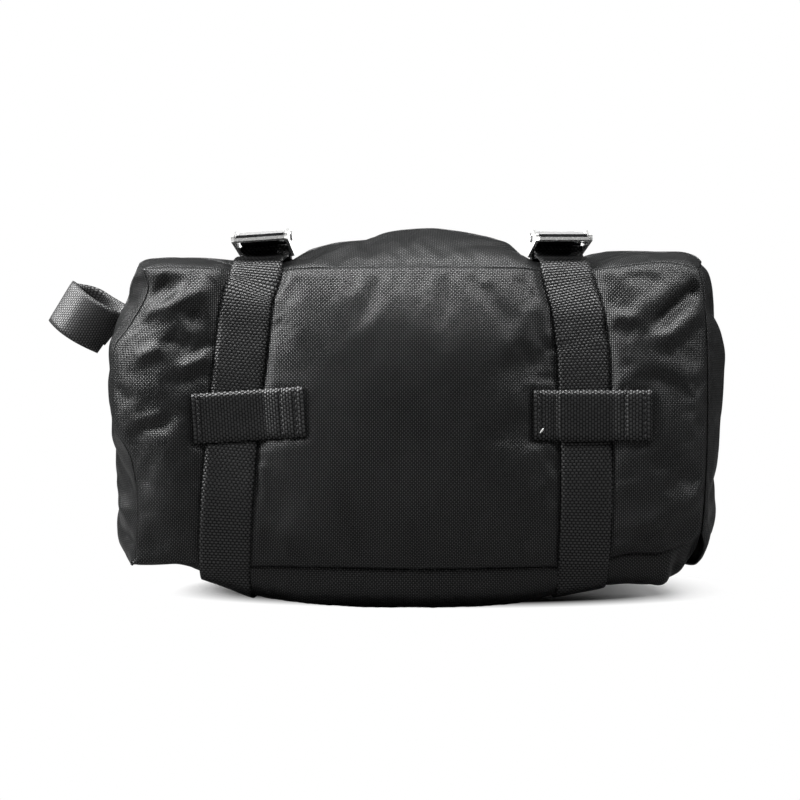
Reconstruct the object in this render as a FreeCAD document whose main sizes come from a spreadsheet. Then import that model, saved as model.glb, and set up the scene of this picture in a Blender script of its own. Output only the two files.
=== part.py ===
"""Soft pannier bag for a bicycle rack: zipped shell, two cam-buckle straps, keepers and an end loop.

Units are millimetres.  +Z is up, +X runs along the bag's length, and -Y is the face that hangs
against the rack.  The origin is on the ground under the middle of the bag, in the plane it
stands on.
"""
import FreeCAD, Part
import math
import os

V = FreeCAD.Vector
Turn = FreeCAD.Rotation
Pose = FreeCAD.Placement
X_AXIS, Y_AXIS, Z_AXIS = V(1, 0, 0), V(0, 1, 0), V(0, 0, 1)

doc = FreeCAD.newDocument("pannier_bag")

# ---------------------------------------------------------------- driving dimensions
DIMENSIONS = {
    # shell
    "bag_depth": 130,
    "shell_thickness": 1.6,
    "end_bulge": 24,
    "end_seam_reach": 142,
    "end_low_edge": 28,
    "end_high_edge": 171,
    "zip_line_depth": 35,
    "zip_line_height": 189.6,
    "zip_half_gap": 6,
    "zip_half_length": 128,
    # stiffening inside
    "foam_width": 250,
    "foam_height": 134,
    "foam_thickness": 6,
    "board_width": 208,
    "board_depth": 96,
    "board_thickness": 2.5,
    "lining_width": 260,
    "lining_depth": 102,
    "lining_height": 152,
    "lining_wall": 0.6,
    # webbing
    "webbing_width": 25,
    "webbing_thickness": 1.5,
    "tab_thickness": 1.2,
    "stitch_height": 0.3,
    "stitch_width": 0.7,
    # zip
    "tape_width": 7,
    "tape_thickness": 0.5,
    "coil_width": 1.9,
    "coil_height": 2,
    "slider_length": 11,
    "slider_width": 8.8,
    "slider_plate": 1.2,
    "slider_divider": 1.1,
    "pull_width": 8,
    "pull_length": 25,
    "pull_thickness": 1.2,
    # cam buckle
    "frame_width": 28.5,
    "frame_length": 40,
    "frame_plate": 1.5,
    "frame_wall": 1.5,
    "pin_diameter": 3,
    "pin_head_diameter": 5,
    "pin_head_height": 0.8,
    "rivet_hole": 3.04,
    "lever_bore": 3.12,
    "lever_width": 24,
    "spring_wire": 0.7,
}

sheet = doc.addObject("Spreadsheet::Sheet", "Dimensions")
for row, (alias, value) in enumerate(DIMENSIONS.items(), start=1):
    sheet.set(f"A{row}", alias)
    sheet.set(f"B{row}", str(value))
    sheet.setAlias(f"B{row}", alias)
doc.recompute()


def dim(alias):
    """The number in the sheet's cell of this name."""
    return float(sheet.get(alias))


def bind(feature, prop, expression):
    """Ties a property to an expression of sheet names, such as '{frame_width} / 2'."""
    for alias in sorted(DIMENSIONS, key=len, reverse=True):
        expression = expression.replace("{" + alias + "}", "Dimensions." + alias)
    feature.setExpression(prop, expression)


# ---------------------------------------------------------------- shared values
half_depth = dim("bag_depth") / 2
wall = dim("shell_thickness")
web_w, web_t = dim("webbing_width"), dim("webbing_thickness")
skin_gap = 0.1              # between webbing and what it lies on
zip_y, zip_z = dim("zip_line_depth"), dim("zip_line_height")
plate = dim("frame_plate")

BUCKLE_FRONT = (-half_depth + 7, 190.3)      # depth and height of the buckle's front edge
BUCKLE_PITCH = -5.7                          # degrees, rear end low
PIN_U, PIN_W = 20, 6                         # pin's place along and above the buckle
SPRING_RADIUS = 2.6

STRAPS = {
    "left": {"buckle_x": -78.6, "roll": -4, "keeper": (-109, -55), "raised": (-107, -71), "tilt": 3.8,
             "run": [(-81, 172.2), (-84.5, 156), (-87.6, 120), (-95.5, 23.2)]},
    "right": {"buckle_x": 74.6, "roll": 0, "keeper": (57, 115), "raised": (66.5, 98.8), "tilt": 0,
              "run": [(76.5, 172.2), (80.2, 152), (81.8, 128), (83.4, 72), (83, 23.2)]},
}
for strap in STRAPS.values():
    strap["frame"] = Pose(V(strap["buckle_x"], *BUCKLE_FRONT),
                          Turn(X_AXIS, BUCKLE_PITCH) * Turn(Y_AXIS, strap["roll"]))


# ---------------------------------------------------------------- helpers
def new_body(label, pose=None):
    body = doc.addObject("PartDesign::Body", label)
    body.Label = label
    body.Placement = pose or Pose()
    return body


def origin_plane(body, role):
    return next(f for f in body.Origin.OriginFeatures if f.Role == role)


def new_sketch(body, name, role, offset=0, frame=None):
    """A sketch on an origin plane, moved by offset along the plane's own axis, or set in a frame."""
    sketch = body.newObject("Sketcher::SketchObject", name)
    plane_feature = origin_plane(body, role)
    sketch.AttachmentSupport = (plane_feature, [""])
    sketch.MapMode = "FlatFace"
    lay = {"XY_Plane": Turn(), "XZ_Plane": Turn(X_AXIS, 90),
           "YZ_Plane": Turn(V(1, 1, 1), 120)}[role]
    side = -1 if role == "XZ_Plane" else 1
    shift = Pose(V(0, 0, side * offset), Turn())
    if frame is not None:
        plane_pose = Pose(V(0, 0, 0), lay)
        shift = plane_pose.inverse() * frame * plane_pose * shift
    sketch.AttachmentOffset = shift
    return sketch


def add_loop(sketch, points):
    """Closed run of straight lines joined at their ends."""
    import Sketcher
    first = sketch.GeometryCount
    count = len(points)
    for a, b in zip(points, points[1:] + points[:1]):
        sketch.addGeometry(Part.LineSegment(V(*a, 0), V(*b, 0)), False)
    for n in range(count):
        sketch.addConstraint(Sketcher.Constraint("Coincident", first + n, 2, first + (n + 1) % count, 1))


def add_circle(sketch, centre, diameter_expression, value):
    """Circle whose diameter follows the sheet."""
    import Sketcher
    number = sketch.addGeometry(Part.Circle(V(*centre, 0), Z_AXIS, value / 2), False)
    name = f"bore_{number}"
    place = sketch.addConstraint(Sketcher.Constraint("Diameter", number, value))
    sketch.renameConstraint(place, name)
    bind(sketch, f"Constraints.{name}", diameter_expression)


def box_points(x0, x1, y0, y1):
    return [(x0, y0), (x1, y0), (x1, y1), (x0, y1)]


def offset_line(points, distance):
    """The open line through points, moved to its left by distance, with mitred corners."""
    moved = []
    for n, (x, y) in enumerate(points):
        before = points[n - 1] if n else None
        after = points[n + 1] if n + 1 < len(points) else None
        normals = []
        for a, b in ((before, (x, y)), ((x, y), after)):
            if a and b:
                run = math.hypot(b[0] - a[0], b[1] - a[1])
                normals.append((-(b[1] - a[1]) / run, (b[0] - a[0]) / run))
        nx = sum(v[0] for v in normals) / len(normals)
        ny = sum(v[1] for v in normals) / len(normals)
        size = nx * nx + ny * ny
        moved.append((x + nx / size * distance, y + ny / size * distance))
    return moved


def ribbon(points, near, far):
    """Closed outline of a strip that lies between two distances to the left of a line."""
    return offset_line(points, near) + offset_line(points, far)[::-1]


def pad(body, sketch, length, name="Pad"):
    """Material on both sides of a sketch; the length is a sheet expression or a number."""
    feature = body.newObject("PartDesign::Pad", name)
    feature.Profile = sketch
    feature.SideType = "Symmetric"
    if isinstance(length, str):
        bind(feature, "Length", length)
    else:
        feature.Length = length
    sketch.Visibility = False
    return feature


def pocket(body, sketch, length, name="Pocket"):
    """Material taken away on both sides of a sketch."""
    doc.recompute()
    before = body.Shape.Volume
    feature = body.newObject("PartDesign::Pocket", name)
    feature.Profile = sketch
    feature.SideType = "Symmetric"
    feature.Length = length
    doc.recompute()
    if not body.Shape.Volume < before - 1e-3:
        raise RuntimeError(f"{body.Label}: {name} cuts nothing")
    return feature


def strip(label, role, offset, points, length, frame=None):
    """A body made by one pad."""
    body = new_body(label)
    sketch = new_sketch(body, "Profile", role, offset, frame)
    add_loop(sketch, points)
    pad(body, sketch, length)
    return body


def lofted(label, role, sections):
    """A body that runs straight from one closed outline to the next: (offset, points) each."""
    body = new_body(label)
    sketches = []
    for n, (offset, points) in enumerate(sections):
        sketch = new_sketch(body, f"Section_{n}", role, offset)
        add_loop(sketch, points)
        sketches.append(sketch)
    loft = body.newObject("PartDesign::AdditiveLoft", "Loft")
    loft.Profile = sketches[0]
    loft.Sections = sketches[1:]
    loft.Ruled = True
    return body


def block(label, x, y, z, size):
    """Part::Box centred at x and y with its underside at z; sizes are sheet expressions or numbers."""
    item = doc.addObject("Part::Box", label)
    item.Label = label
    for prop, length in zip(("Length", "Width", "Height"), size):
        if isinstance(length, str):
            bind(item, prop, length)
        else:
            setattr(item, prop, length)
    doc.recompute()
    item.Placement = Pose(V(x - item.Length.Value / 2, y - item.Width.Value / 2, z), Turn())
    return item


def gather(label, items):
    """Several solids of one kind kept as one sub-part."""
    group = doc.addObject("Part::Compound", label)
    group.Label = label
    group.Links = items
    return group


subparts = []


def keep(item):
    subparts.append(item)
    return item


# ---------------------------------------------------------------- shell panels
PANEL_TOP = 174.4
BACK_OUTLINE = [(-133, PANEL_TOP), (-141, 160), (-150, 138), (-148, 100), (-141, 82), (-138, 58),
                (-141, 27), (128, 24), (139, 40), (143, 60), (145, 95), (145, 138), (142, 166),
                (138, PANEL_TOP)]
for label, side in (("back_panel", -1), ("front_panel", 1)):
    keep(strip(label, "XZ_Plane", side * (half_depth - wall / 2), BACK_OUTLINE, "{shell_thickness}"))

# end panels bow outwards between the seams and draw in towards their upper and lower edges
ARC_STEPS = 8
end_half = half_depth - wall - 0.2


def bow_outline(side, reach, bulge):
    """Strip that leaves the seam at reach and stands out by bulge at mid depth."""
    bow = []
    for n in range(ARC_STEPS + 1):
        y = end_half * (2 * n / ARC_STEPS - 1)
        bow.append((side * (reach + bulge * (1 - (y / end_half) ** 2)), y))
    outline = ribbon(bow, 0, side * wall)
    # the strip's cut ends are kept square to the depth direction
    for n, y in ((0, -end_half), (-1, -end_half), (ARC_STEPS, end_half), (ARC_STEPS + 1, end_half)):
        outline[n] = (outline[n][0], y)
    return outline


full = dim("end_bulge")
END_SECTIONS = {
    "left": [(0, 141, 8), (0.2, 138, 20), (0.5, 147, full - 5), (0.76, 149, full - 7), (1, 135, 6)],
    "right": [(0, 135, 8), (0.2, 142, 20), (0.5, 145, full - 1), (0.76, 145, full - 2), (1, 139, 6)],
}
low, high = dim("end_low_edge"), dim("end_high_edge")
for label, side in (("left", -1), ("right", 1)):
    keep(lofted(f"{label}_end_panel", "XY_Plane",
                [(low + (high - low) * share, bow_outline(side, reach, bulge))
                 for share, reach, bulge in END_SECTIONS[label]]))

# bottom: on the ground between the straps, over them where they pass, turned up all round
FLOOR_Z = web_t + 0.2
half_bottom = [(half_depth, 23.4), (61, 14), (50, 6.5), (30, FLOOR_Z)]
half_rise = [(half_depth, 22.2), (61, 21.4), (50, 20.8), (30, 20.8)]
half_tip = [(40, 24.2), (36, 24), (30, 24), (20, 24)]
half_sag = [(half_depth, 23.4), (61, 13), (50, 5), (30, 0)]
BOTTOM_LINE, BOTTOM_RISE, BOTTOM_TIP, BOTTOM_SAG = (
    [(-y, z) for y, z in half] + half[::-1] for half in (half_bottom, half_rise, half_tip, half_sag))
keep(lofted("bottom_panel", "YZ_Plane",
            [(x, ribbon(line, 0, wall)) for x, line in
             ((-153, BOTTOM_TIP), (-138, BOTTOM_RISE), (-122, BOTTOM_RISE), (-110, BOTTOM_LINE),
              (-82, BOTTOM_LINE), (-77, BOTTOM_SAG), (65, BOTTOM_SAG), (70, BOTTOM_LINE), (104, BOTTOM_LINE), (124, BOTTOM_RISE), (132, BOTTOM_RISE), (148, BOTTOM_TIP))]))

# top, rack side: pulled down under the buckles, puffed up between them, closed down at the ends
TOP_EDGE = (-half_depth, 176.2)
ZIP_EDGE = (zip_y - dim("zip_half_gap"), zip_z)
TOP_AT_TIP = [(-42, 173.6), (-34, 173.9), (-20, 174.2), (0, 174.4), (15, 174.6), (ZIP_EDGE[0], 174.6)]
TOP_AT_SEAM = [TOP_EDGE, (-55, 178), (-35, 180.4), (-5, 182), (15, 182.6), (ZIP_EDGE[0], 183)]
TOP_AT_END = [TOP_EDGE, (-55, 180), (-35, 184), (-5, 187), (15, 188.5), ZIP_EDGE]
TOP_AT_STRAP = [TOP_EDGE, (-58, 179.5), (-45, 181.5), (-15, 183.5), (10, 186.8), ZIP_EDGE]
TOP_AT_CROWN = [TOP_EDGE, (-55, 187), (-35, 195.5), (-5, 200.5), (15, 197), ZIP_EDGE]
keep(lofted("top_panel_rear", "YZ_Plane",
            [(x, ribbon(line, 0, -wall)) for x, line in
             ((-154, TOP_AT_TIP), (-136, TOP_AT_SEAM), (-129, TOP_AT_END), (-98, TOP_AT_STRAP),
              (-60, TOP_AT_STRAP), (0, TOP_AT_CROWN), (57, TOP_AT_STRAP), (92, TOP_AT_STRAP),
              (129, TOP_AT_END), (138, TOP_AT_SEAM), (158, TOP_AT_TIP))]))

TOP_FRONT_LINE = [(zip_y + dim("zip_half_gap"), zip_z), (47, 189.2), (56, 185), (half_depth, 176.2)]
TOP_FRONT_SEAM = [(TOP_FRONT_LINE[0][0], 183), (47, 182.4), (56, 180), (half_depth, 176.2)]
TOP_FRONT_TIP = [(33, 174.6), (36, 174.4), (39, 174), (42, 173.6)]
keep(lofted("top_panel_front", "YZ_Plane",
            [(x, ribbon(line, 0, -wall)) for x, line in
             ((-154, TOP_FRONT_TIP), (-136, TOP_FRONT_SEAM), (-129, TOP_FRONT_LINE),
              (129, TOP_FRONT_LINE), (138, TOP_FRONT_SEAM), (158, TOP_FRONT_TIP))]))

# ---------------------------------------------------------------- stiffening and lining
keep(block("back_foam", -1, -half_depth + wall + 0.2 + dim("foam_thickness") / 2, 32,
           ("{foam_width}", "{foam_thickness}", "{foam_height}")))
BOARD_Z = 8.5
keep(block("base_board", -2, 0, BOARD_Z, ("{board_width}", "{board_depth}", "{board_thickness}")))
LINING_Z = BOARD_Z + dim("board_thickness") + 0.5
lining = new_body("lining")


def tub_outline(inset):
    """Side view of the lining, drawn in at its foot like the bottom panel; inset moves it inwards."""
    half, top = dim("lining_width") / 2 - inset, LINING_Z + dim("lining_height")
    foot, floor_z = half - 26, LINING_Z + inset
    return [(-half, top), (-half, 32), (-foot, floor_z), (foot - 2, floor_z), (half, 32), (half, top)]


tub = new_sketch(lining, "Tub", "XZ_Plane", 0)
add_loop(tub, tub_outline(0))
pad(lining, tub, "{lining_depth}", "TubPad")
room = new_sketch(lining, "Room", "XZ_Plane", 0)
inner = tub_outline(dim("lining_wall"))
add_loop(room, [(inner[0][0], inner[0][1] + 5)] + inner[1:5] + [(inner[5][0], inner[5][1] + 5)])
pocket(lining, room, dim("lining_depth") - 2 * dim("lining_wall"), "RoomCut")
keep(lining)

# ---------------------------------------------------------------- zip
CHAIN_GAP = 0.7                                   # from the centre line to each row of coils
COIL_Z = zip_z - 2.1
TAPE_Z = COIL_Z - 0.1 - dim("tape_thickness")
zip_length = 2 * dim("zip_half_length")
for label, side in (("rear", -1), ("front", 1)):
    tape_y = zip_y + side * (CHAIN_GAP + 0.1 + dim("tape_width") / 2)
    keep(block(f"zipper_tape_{label}", 0, tape_y, TAPE_Z,
               ("2 * {zip_half_length}", "{tape_width}", "{tape_thickness}")))
    coil_y = zip_y + side * (CHAIN_GAP + dim("coil_width") / 2)
    keep(block(f"zipper_coil_{label}", 0, coil_y, COIL_Z,
               ("2 * {zip_half_length} - 16", "{coil_width}", "{coil_height}")))

STOP_X = dim("zip_half_length") - 6.2
keep(gather("zipper_end_stops",
            [block(f"stop_{n}", side * STOP_X, zip_y, COIL_Z, (3, 7, 2.2))
             for n, side in enumerate((-1, 1))]))

# slider: two plates joined by a divider, with low side flanges and a bridge for the pull
SLIDER_X = dim("zip_half_length") - 14
slider_low = TAPE_Z - 0.2 - dim("slider_plate")
slider_top = zip_z + 0.1
slider = new_body("zipper_slider", Pose(V(SLIDER_X, zip_y, 0), Turn()))
half_long, half_wide = dim("slider_length") / 2, dim("slider_width") / 2


def slider_plate_outline():
    """Plate that narrows towards the closed end of the zip."""
    return [(-half_long, -half_wide * 0.75), (-half_long * 0.4, -half_wide), (half_long * 0.8, -half_wide),
            (half_long, -half_wide * 0.7), (half_long, half_wide * 0.7), (half_long * 0.8, half_wide),
            (-half_long * 0.4, half_wide), (-half_long, half_wide * 0.75)]


for name, z in (("UpperPlate", slider_top), ("LowerPlate", slider_low)):
    sketch = new_sketch(slider, name + "Outline", "XY_Plane", z + dim("slider_plate") / 2)
    add_loop(sketch, slider_plate_outline())
    if name == "UpperPlate":
        pad(slider, sketch, "{slider_plate}", name)
        post = new_sketch(slider, "DividerOutline", "XY_Plane", (slider_low + slider_top + 1) / 2)
        half_post = dim("slider_divider") / 2
        add_loop(post, [(1, -half_post), (half_long - 0.3, -half_post), (half_long - 0.3, half_post),
                        (1, half_post)])
        pad(slider, post, slider_top - slider_low, "Divider")
    else:
        pad(slider, sketch, "{slider_plate}", name)
for side in (-1, 1):
    rim = new_sketch(slider, f"Flange_{side + 1}", "XY_Plane", slider_top - 0.75)
    inner, outer = side * (half_wide - 1), side * half_wide
    add_loop(rim, box_points(-half_long * 0.4, half_long * 0.8, min(inner, outer), max(inner, outer)))
    pad(slider, rim, 1.6, f"Flange_{side + 1}_pad")
deck = slider_top + dim("slider_plate")
bridge = new_sketch(slider, "BridgeOutline", "XZ_Plane", 0)
add_loop(bridge, [(-4, deck - 0.3), (-4, deck + 2.6), (-3.1, deck + 3.5), (3.1, deck + 3.5),
                  (4, deck + 2.6), (4, deck - 0.3), (2.3, deck - 0.3), (2.3, deck + 1.9),
                  (1.9, deck + 2.3), (-1.9, deck + 2.3), (-2.3, deck + 1.9), (-2.3, deck - 0.3)])
pad(slider, bridge, 2, "Bridge")
keep(slider)

# pull: lies flat, its end bar held under the bridge
PULL_Z = deck + 1.15
pull = new_body("zipper_pull_tab", Pose(V(SLIDER_X, zip_y, PULL_Z), Turn()))
face = new_sketch(pull, "Outline", "XY_Plane", 0)
half_bar, half_pull = dim("pull_thickness") / 2, dim("pull_width") / 2
tip = half_bar - dim("pull_length")
add_loop(face, [(half_bar, -half_pull + 1), (half_bar, half_pull - 1), (0, half_pull), (tip + 3, half_pull),
                (tip + 1, half_pull - 1), (tip, half_pull - 3), (tip, 3 - half_pull),
                (tip + 1, 1 - half_pull), (tip + 3, -half_pull), (0, -half_pull)])
pad(pull, face, "{pull_thickness}")
for name, x0, x1, half in (("BridgeWindow", -5.7, -half_bar, 1.7), ("GripWindow", tip + 3, -9, 2.2)):
    window = new_sketch(pull, name, "XY_Plane", 0)
    add_loop(window, box_points(x0, x1, -half, half))
    pocket(pull, window, 5, name + "Cut")
keep(pull)


# ---------------------------------------------------------------- straps, keepers and tabs
def strap_top_line():
    """The line the webbing's underside follows over the top edge, in depth and height."""
    return [(-half_depth, 172)] + TOP_AT_STRAP[:3]


def climb_line():
    """Middle line of the webbing as it climbs through the buckle, in the buckle's own frame."""
    over_bar = plate + skin_gap + web_t / 2
    return [(8, -7.1), (19.3, -4.6), (22.7, -1.2), (23, 0.2), (23, over_bar), (30, over_bar),
            (33.4, over_bar + 1.9), (50, over_bar + 2)]


for side, strap in STRAPS.items():
    body = new_body(f"strap_{side}")
    run = new_sketch(body, "BackRun", "XZ_Plane", -half_depth - skin_gap - web_t / 2)
    half = web_w / 2
    add_loop(run, [(x - half, z) for x, z in strap["run"]] + [(x + half, z) for x, z in strap["run"][::-1]])
    pad(body, run, "{webbing_thickness}", "BackRunPad")
    edge = new_sketch(body, "TopEdge", "YZ_Plane", strap["run"][0][0])
    add_loop(edge, ribbon(strap_top_line(), skin_gap, skin_gap + web_t))
    pad(body, edge, "{webbing_width}", "TopEdgePad")
    climb = new_sketch(body, "Climb", "YZ_Plane", 0, strap["frame"])
    add_loop(climb, ribbon(climb_line(), -web_t / 2, web_t / 2))
    pad(body, climb, "{webbing_width}", "ClimbPad")
    under = new_sketch(body, "Under", "YZ_Plane", strap["run"][-1][0])
    low_line = [(-half_depth, 30)] + BOTTOM_LINE[:5] + [(45, 4.9)]
    outline = ribbon(low_line, -skin_gap, -skin_gap - web_t)
    add_loop(under, [(y, 0 if z < 0.11 else z) for y, z in outline])
    pad(body, under, "{webbing_width}", "UnderPad")
    keep(body)

KEEPER_Z = 102.5
for side, strap in STRAPS.items():
    (x0, x1), (a, b) = strap["keeper"], strap["raised"]
    middle = (x0 + x1) / 2
    rest_y, lift_y = -half_depth - skin_gap, -half_depth - 2 * skin_gap - web_t - 0.05
    line = [(x0 - middle, rest_y), (a - middle, rest_y), (a + 1.8 - middle, lift_y),
            (b - 1.8 - middle, lift_y), (b - middle, rest_y), (x1 - middle, rest_y)]
    body = strip(f"keeper_{side}", "XY_Plane", 0, ribbon(line, 0, -web_t), "{webbing_width}")
    body.Placement = Pose(V(middle, 0, KEEPER_Z), Turn(Y_AXIS, -strap["tilt"]))
    keep(body)


def stitch_bar(name, pose, across, along):
    """A raised row of thread, given by its middle, its length along X and its length along Z."""
    bar = doc.addObject("Part::Box", name)
    bar.Length, bar.Height = across, along
    bind(bar, "Width", "{stitch_height}")
    centre = Pose(V(-across / 2, -dim("stitch_height") / 2, -along / 2), Turn())
    bar.Placement = pose * centre
    return bar


rows = []
stitch_y = -half_depth - skin_gap - web_t - 0.05 - dim("stitch_height") / 2
for side, strap in STRAPS.items():
    (x0, x1), (a, b) = strap["keeper"], strap["raised"]
    middle = (x0 + x1) / 2
    turn = Turn(Y_AXIS, -strap["tilt"])
    for n, x in enumerate(((x0 + a) / 2, (b + x1) / 2)):
        place = V(middle, 0, KEEPER_Z) + turn.multVec(V(x - middle, stitch_y, 0))
        rows.append(stitch_bar(f"keeper_row_{side}_{n}", Pose(place, turn), dim("stitch_width"), 22))
keep(gather("keeper_stitching", rows))

# webbing tab that holds the buckle's rear bar and is sewn to the top panel behind it
tab_t = dim("tab_thickness")
SEWN_LINE = [(-15.5, 185.1), (-7, 185.4), (10, 187.6), (20, 189.1)]
for side, strap in STRAPS.items():
    body = new_body(f"buckle_tab_{side}")
    loop = new_sketch(body, "Loop", "YZ_Plane", 0, strap["frame"])
    ring = [(45, -0.1), (40.8, -0.75), (34.8, -0.75), (34.8, 2.25), (41.2, 2.25), (45, 1.2)]
    add_loop(loop, ribbon(ring, -tab_t / 2, tab_t / 2))
    pad(body, loop, "{webbing_width}", "LoopPad")
    sewn = new_sketch(body, "Sewn", "YZ_Plane", strap["buckle_x"])
    add_loop(sewn, ribbon(SEWN_LINE, -0.6, 2.2))
    pad(body, sewn, "{webbing_width}", "SewnPad")
    keep(body)

rows = []
for side, strap in STRAPS.items():
    for n, y in enumerate((6, 15)):
        height = 189.4 + (y - 6) * 0.14
        row = doc.addObject("Part::Box", f"tab_row_{side}_{n}")
        row.Length, row.Width = 22, dim("stitch_width")
        bind(row, "Height", "{stitch_height}")
        row.Placement = Pose(V(strap["buckle_x"] - 11, y, height), Turn(X_AXIS, 7.4))
        rows.append(row)
keep(gather("tab_stitching", rows))

# grab loop on the left end: teardrop of webbing, leaning up and outwards
LOOP_ROOT, LOOP_LIFT = V(-160, -25, 145.6), 34
loop_pose = Pose(LOOP_ROOT, Turn(Y_AXIS, 180 + LOOP_LIFT) * Turn(X_AXIS, 180))
loop_body = new_body("end_loop")
drop = new_sketch(loop_body, "Teardrop", "XY_Plane", 0, loop_pose)
half_drop = [(0, 0.4), (9, 3.2), (19, 5), (27, 4.2), (30.5, 1.6)]
add_loop(drop, ribbon(half_drop + [(x, -y) for x, y in half_drop[::-1]], 0, web_t))
pad(loop_body, drop, "{webbing_width}", "LoopPad")
trim = new_sketch(loop_body, "Trim", "XZ_Plane", -25)
add_loop(trim, box_points(-164.6, -120, 100, 190))
pocket(loop_body, trim, 60, "TrimCut")
keep(loop_body)


# ---------------------------------------------------------------- cam buckles
def buckle_frame(label, pose):
    """Open metal frame: front bar, cross bar, rear bar and two side walls drilled for the pin."""
    body = new_body(label, pose)
    length, half = dim("frame_length"), dim("frame_width") / 2
    inside = half - dim("frame_wall")
    base = new_sketch(body, "Plate", "XY_Plane", plate / 2)
    corner = 1.6
    add_loop(base, [(-half + corner, 0), (half - corner, 0), (half, corner), (half, length - corner),
                    (half - corner, length), (-half + corner, length), (-half, length - corner),
                    (-half, corner)])
    pad(body, base, "{frame_plate}", "PlatePad")
    for name, (near, far) in {"LeverOpening": (3.6, 24), "RearSlot": (30.6, 35.5)}.items():
        opening = new_sketch(body, name, "XY_Plane", plate / 2)
        add_loop(opening, box_points(-inside, inside, near, far))
        pocket(body, opening, 6, name + "Cut")
    wall_sketch = new_sketch(body, "SideWall", "YZ_Plane", half - dim("frame_wall") / 2)
    add_loop(wall_sketch, [(1.6, 0.4), (1.6, 3.0), (2.4, 3.8), (8, 4.3), (13.6, 8.2), (15, 8.8),
                           (25, 8.8), (26.6, 8.0), (30.2, 4.2), (31.4, 3.6), (37.2, 3.4), (38.4, 2.6),
                           (38.4, 0.4)])
    side_wall = pad(body, wall_sketch, "{frame_wall}", "SideWallPad")
    mirror = body.newObject("PartDesign::Mirrored", "OtherWall")
    mirror.Originals = [side_wall]
    mirror.MirrorPlane = (origin_plane(body, "YZ_Plane"), [""])
    body.Tip = mirror
    hole = new_sketch(body, "PinHole", "YZ_Plane", 0)
    add_circle(hole, (PIN_U, PIN_W), "{rivet_hole}", dim("rivet_hole"))
    pocket(body, hole, 40, "PinHoleCut")
    eye = new_sketch(body, "SpringEye", "YZ_Plane", half)
    eye_w = PIN_W - SPRING_RADIUS
    add_loop(eye, box_points(PIN_U - 0.5, PIN_U + 0.5, eye_w - 0.5, eye_w + 0.5))
    pocket(body, eye, 2 * dim("frame_wall") + 2, "SpringEyeCut")
    return body


def cam_lever(label, pose):
    """Toothed cam with a thumb plate that lies along the frame's opening; its bore runs on the pin."""
    body = new_body(label, pose)
    side_view = new_sketch(body, "SideView", "YZ_Plane", 0)
    u, w = PIN_U, PIN_W
    add_loop(side_view, [(u - 15.4, w - 3.2), (u - 15.6, w - 1.9), (u - 14.6, w - 1.3), (u - 9, w - 0.2),
                         (u - 4.2, w + 1.9), (u - 1.6, w + 2.9), (u + 1, w + 3.1), (u + 2.8, w + 2.2),
                         (u + 4.2, w + 0.4), (u + 5.2, w - 1.6), (u + 4.9, w - 2.82),
                         (u + 4.2, w - 2.2), (u + 3.9, w - 2.82), (u + 3.2, w - 2.2),
                         (u + 2.9, w - 2.82), (u + 2.2, w - 2.3), (u + 1.2, w - 2.9),
                         (u - 0.8, w - 3.0), (u - 2.6, w - 1.9), (u - 4.6, w - 0.7),
                         (u - 9, w - 1.9), (u - 13.6, w - 3.2)])
    pad(body, side_view, "{lever_width}", "LeverPad")
    bore = new_sketch(body, "Bore", "YZ_Plane", 0)
    add_circle(bore, (u, w), "{lever_bore}", dim("lever_bore"))
    pocket(body, bore, 40, "BoreCut")
    recess = new_sketch(body, "SpringRecess", "YZ_Plane", 10)
    add_loop(recess, box_points(u - 3.2, u + 3.2, w - 3.3, w + 3.4))
    pocket(body, recess, 5, "SpringRecessCut")
    return body


def lever_pin(label, pose):
    """Pin with a head riveted over at each side of the frame."""
    body = new_body(label, pose)
    radius, head = dim("pin_diameter") / 2, dim("pin_head_diameter") / 2
    seat = dim("frame_width") / 2 + 0.03
    end = seat + dim("pin_head_height")
    shape = new_sketch(body, "HalfSection", "XY_Plane", PIN_W)
    add_loop(shape, [(-end, PIN_U), (end, PIN_U), (end, PIN_U + head - 0.5), (end - 0.4, PIN_U + head),
                     (seat, PIN_U + head), (seat, PIN_U + radius), (-seat, PIN_U + radius),
                     (-seat, PIN_U + head), (-end + 0.4, PIN_U + head), (-end, PIN_U + head - 0.5)])
    turned = body.newObject("PartDesign::Revolution", "Turned")
    turned.Profile = shape
    turned.ReferenceAxis = (shape, ["Edge1"])
    turned.Angle = 360
    return body


def lever_spring(label, pose):
    """Torsion spring on the pin: one leg in the side wall, the other under the thumb plate."""
    wire, turns, mean = dim("spring_wire"), 3, SPRING_RADIUS
    start, pitch = 8.3, 0.95
    coil = Part.makeHelix(pitch, turns * pitch, mean)
    # the helix runs along its own Z, which becomes the pin's direction
    lay = Pose(V(start, PIN_U, PIN_W), Turn(Y_AXIS, 90))
    coil.Placement = lay
    first = lay.multVec(V(mean, 0, 0))
    last = lay.multVec(V(mean, 0, turns * pitch))
    eye_leg = Part.makeCylinder(wire / 2, 14.1 - last.x, last, X_AXIS)
    thumb_leg = Part.makeCylinder(wire / 2, 7, first, V(0, -1, 0))
    ring = Part.Wire([Part.Circle(first, V(0, 1, 0), wire / 2).toShape()])
    body = Part.Wire(coil.Edges).makePipeShell([ring], True, True)
    solid = body.fuse([eye_leg, thumb_leg]).removeSplitter()
    spring = doc.addObject("Part::Feature", label)
    spring.Label = label
    spring.Shape = solid
    spring.Placement = pose
    return spring


for side, strap in STRAPS.items():
    keep(buckle_frame(f"buckle_frame_{side}", strap["frame"]))
    keep(cam_lever(f"cam_lever_{side}", strap["frame"]))
    keep(lever_pin(f"lever_pin_{side}", strap["frame"]))
    keep(lever_spring(f"lever_spring_{side}", strap["frame"]))

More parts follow.
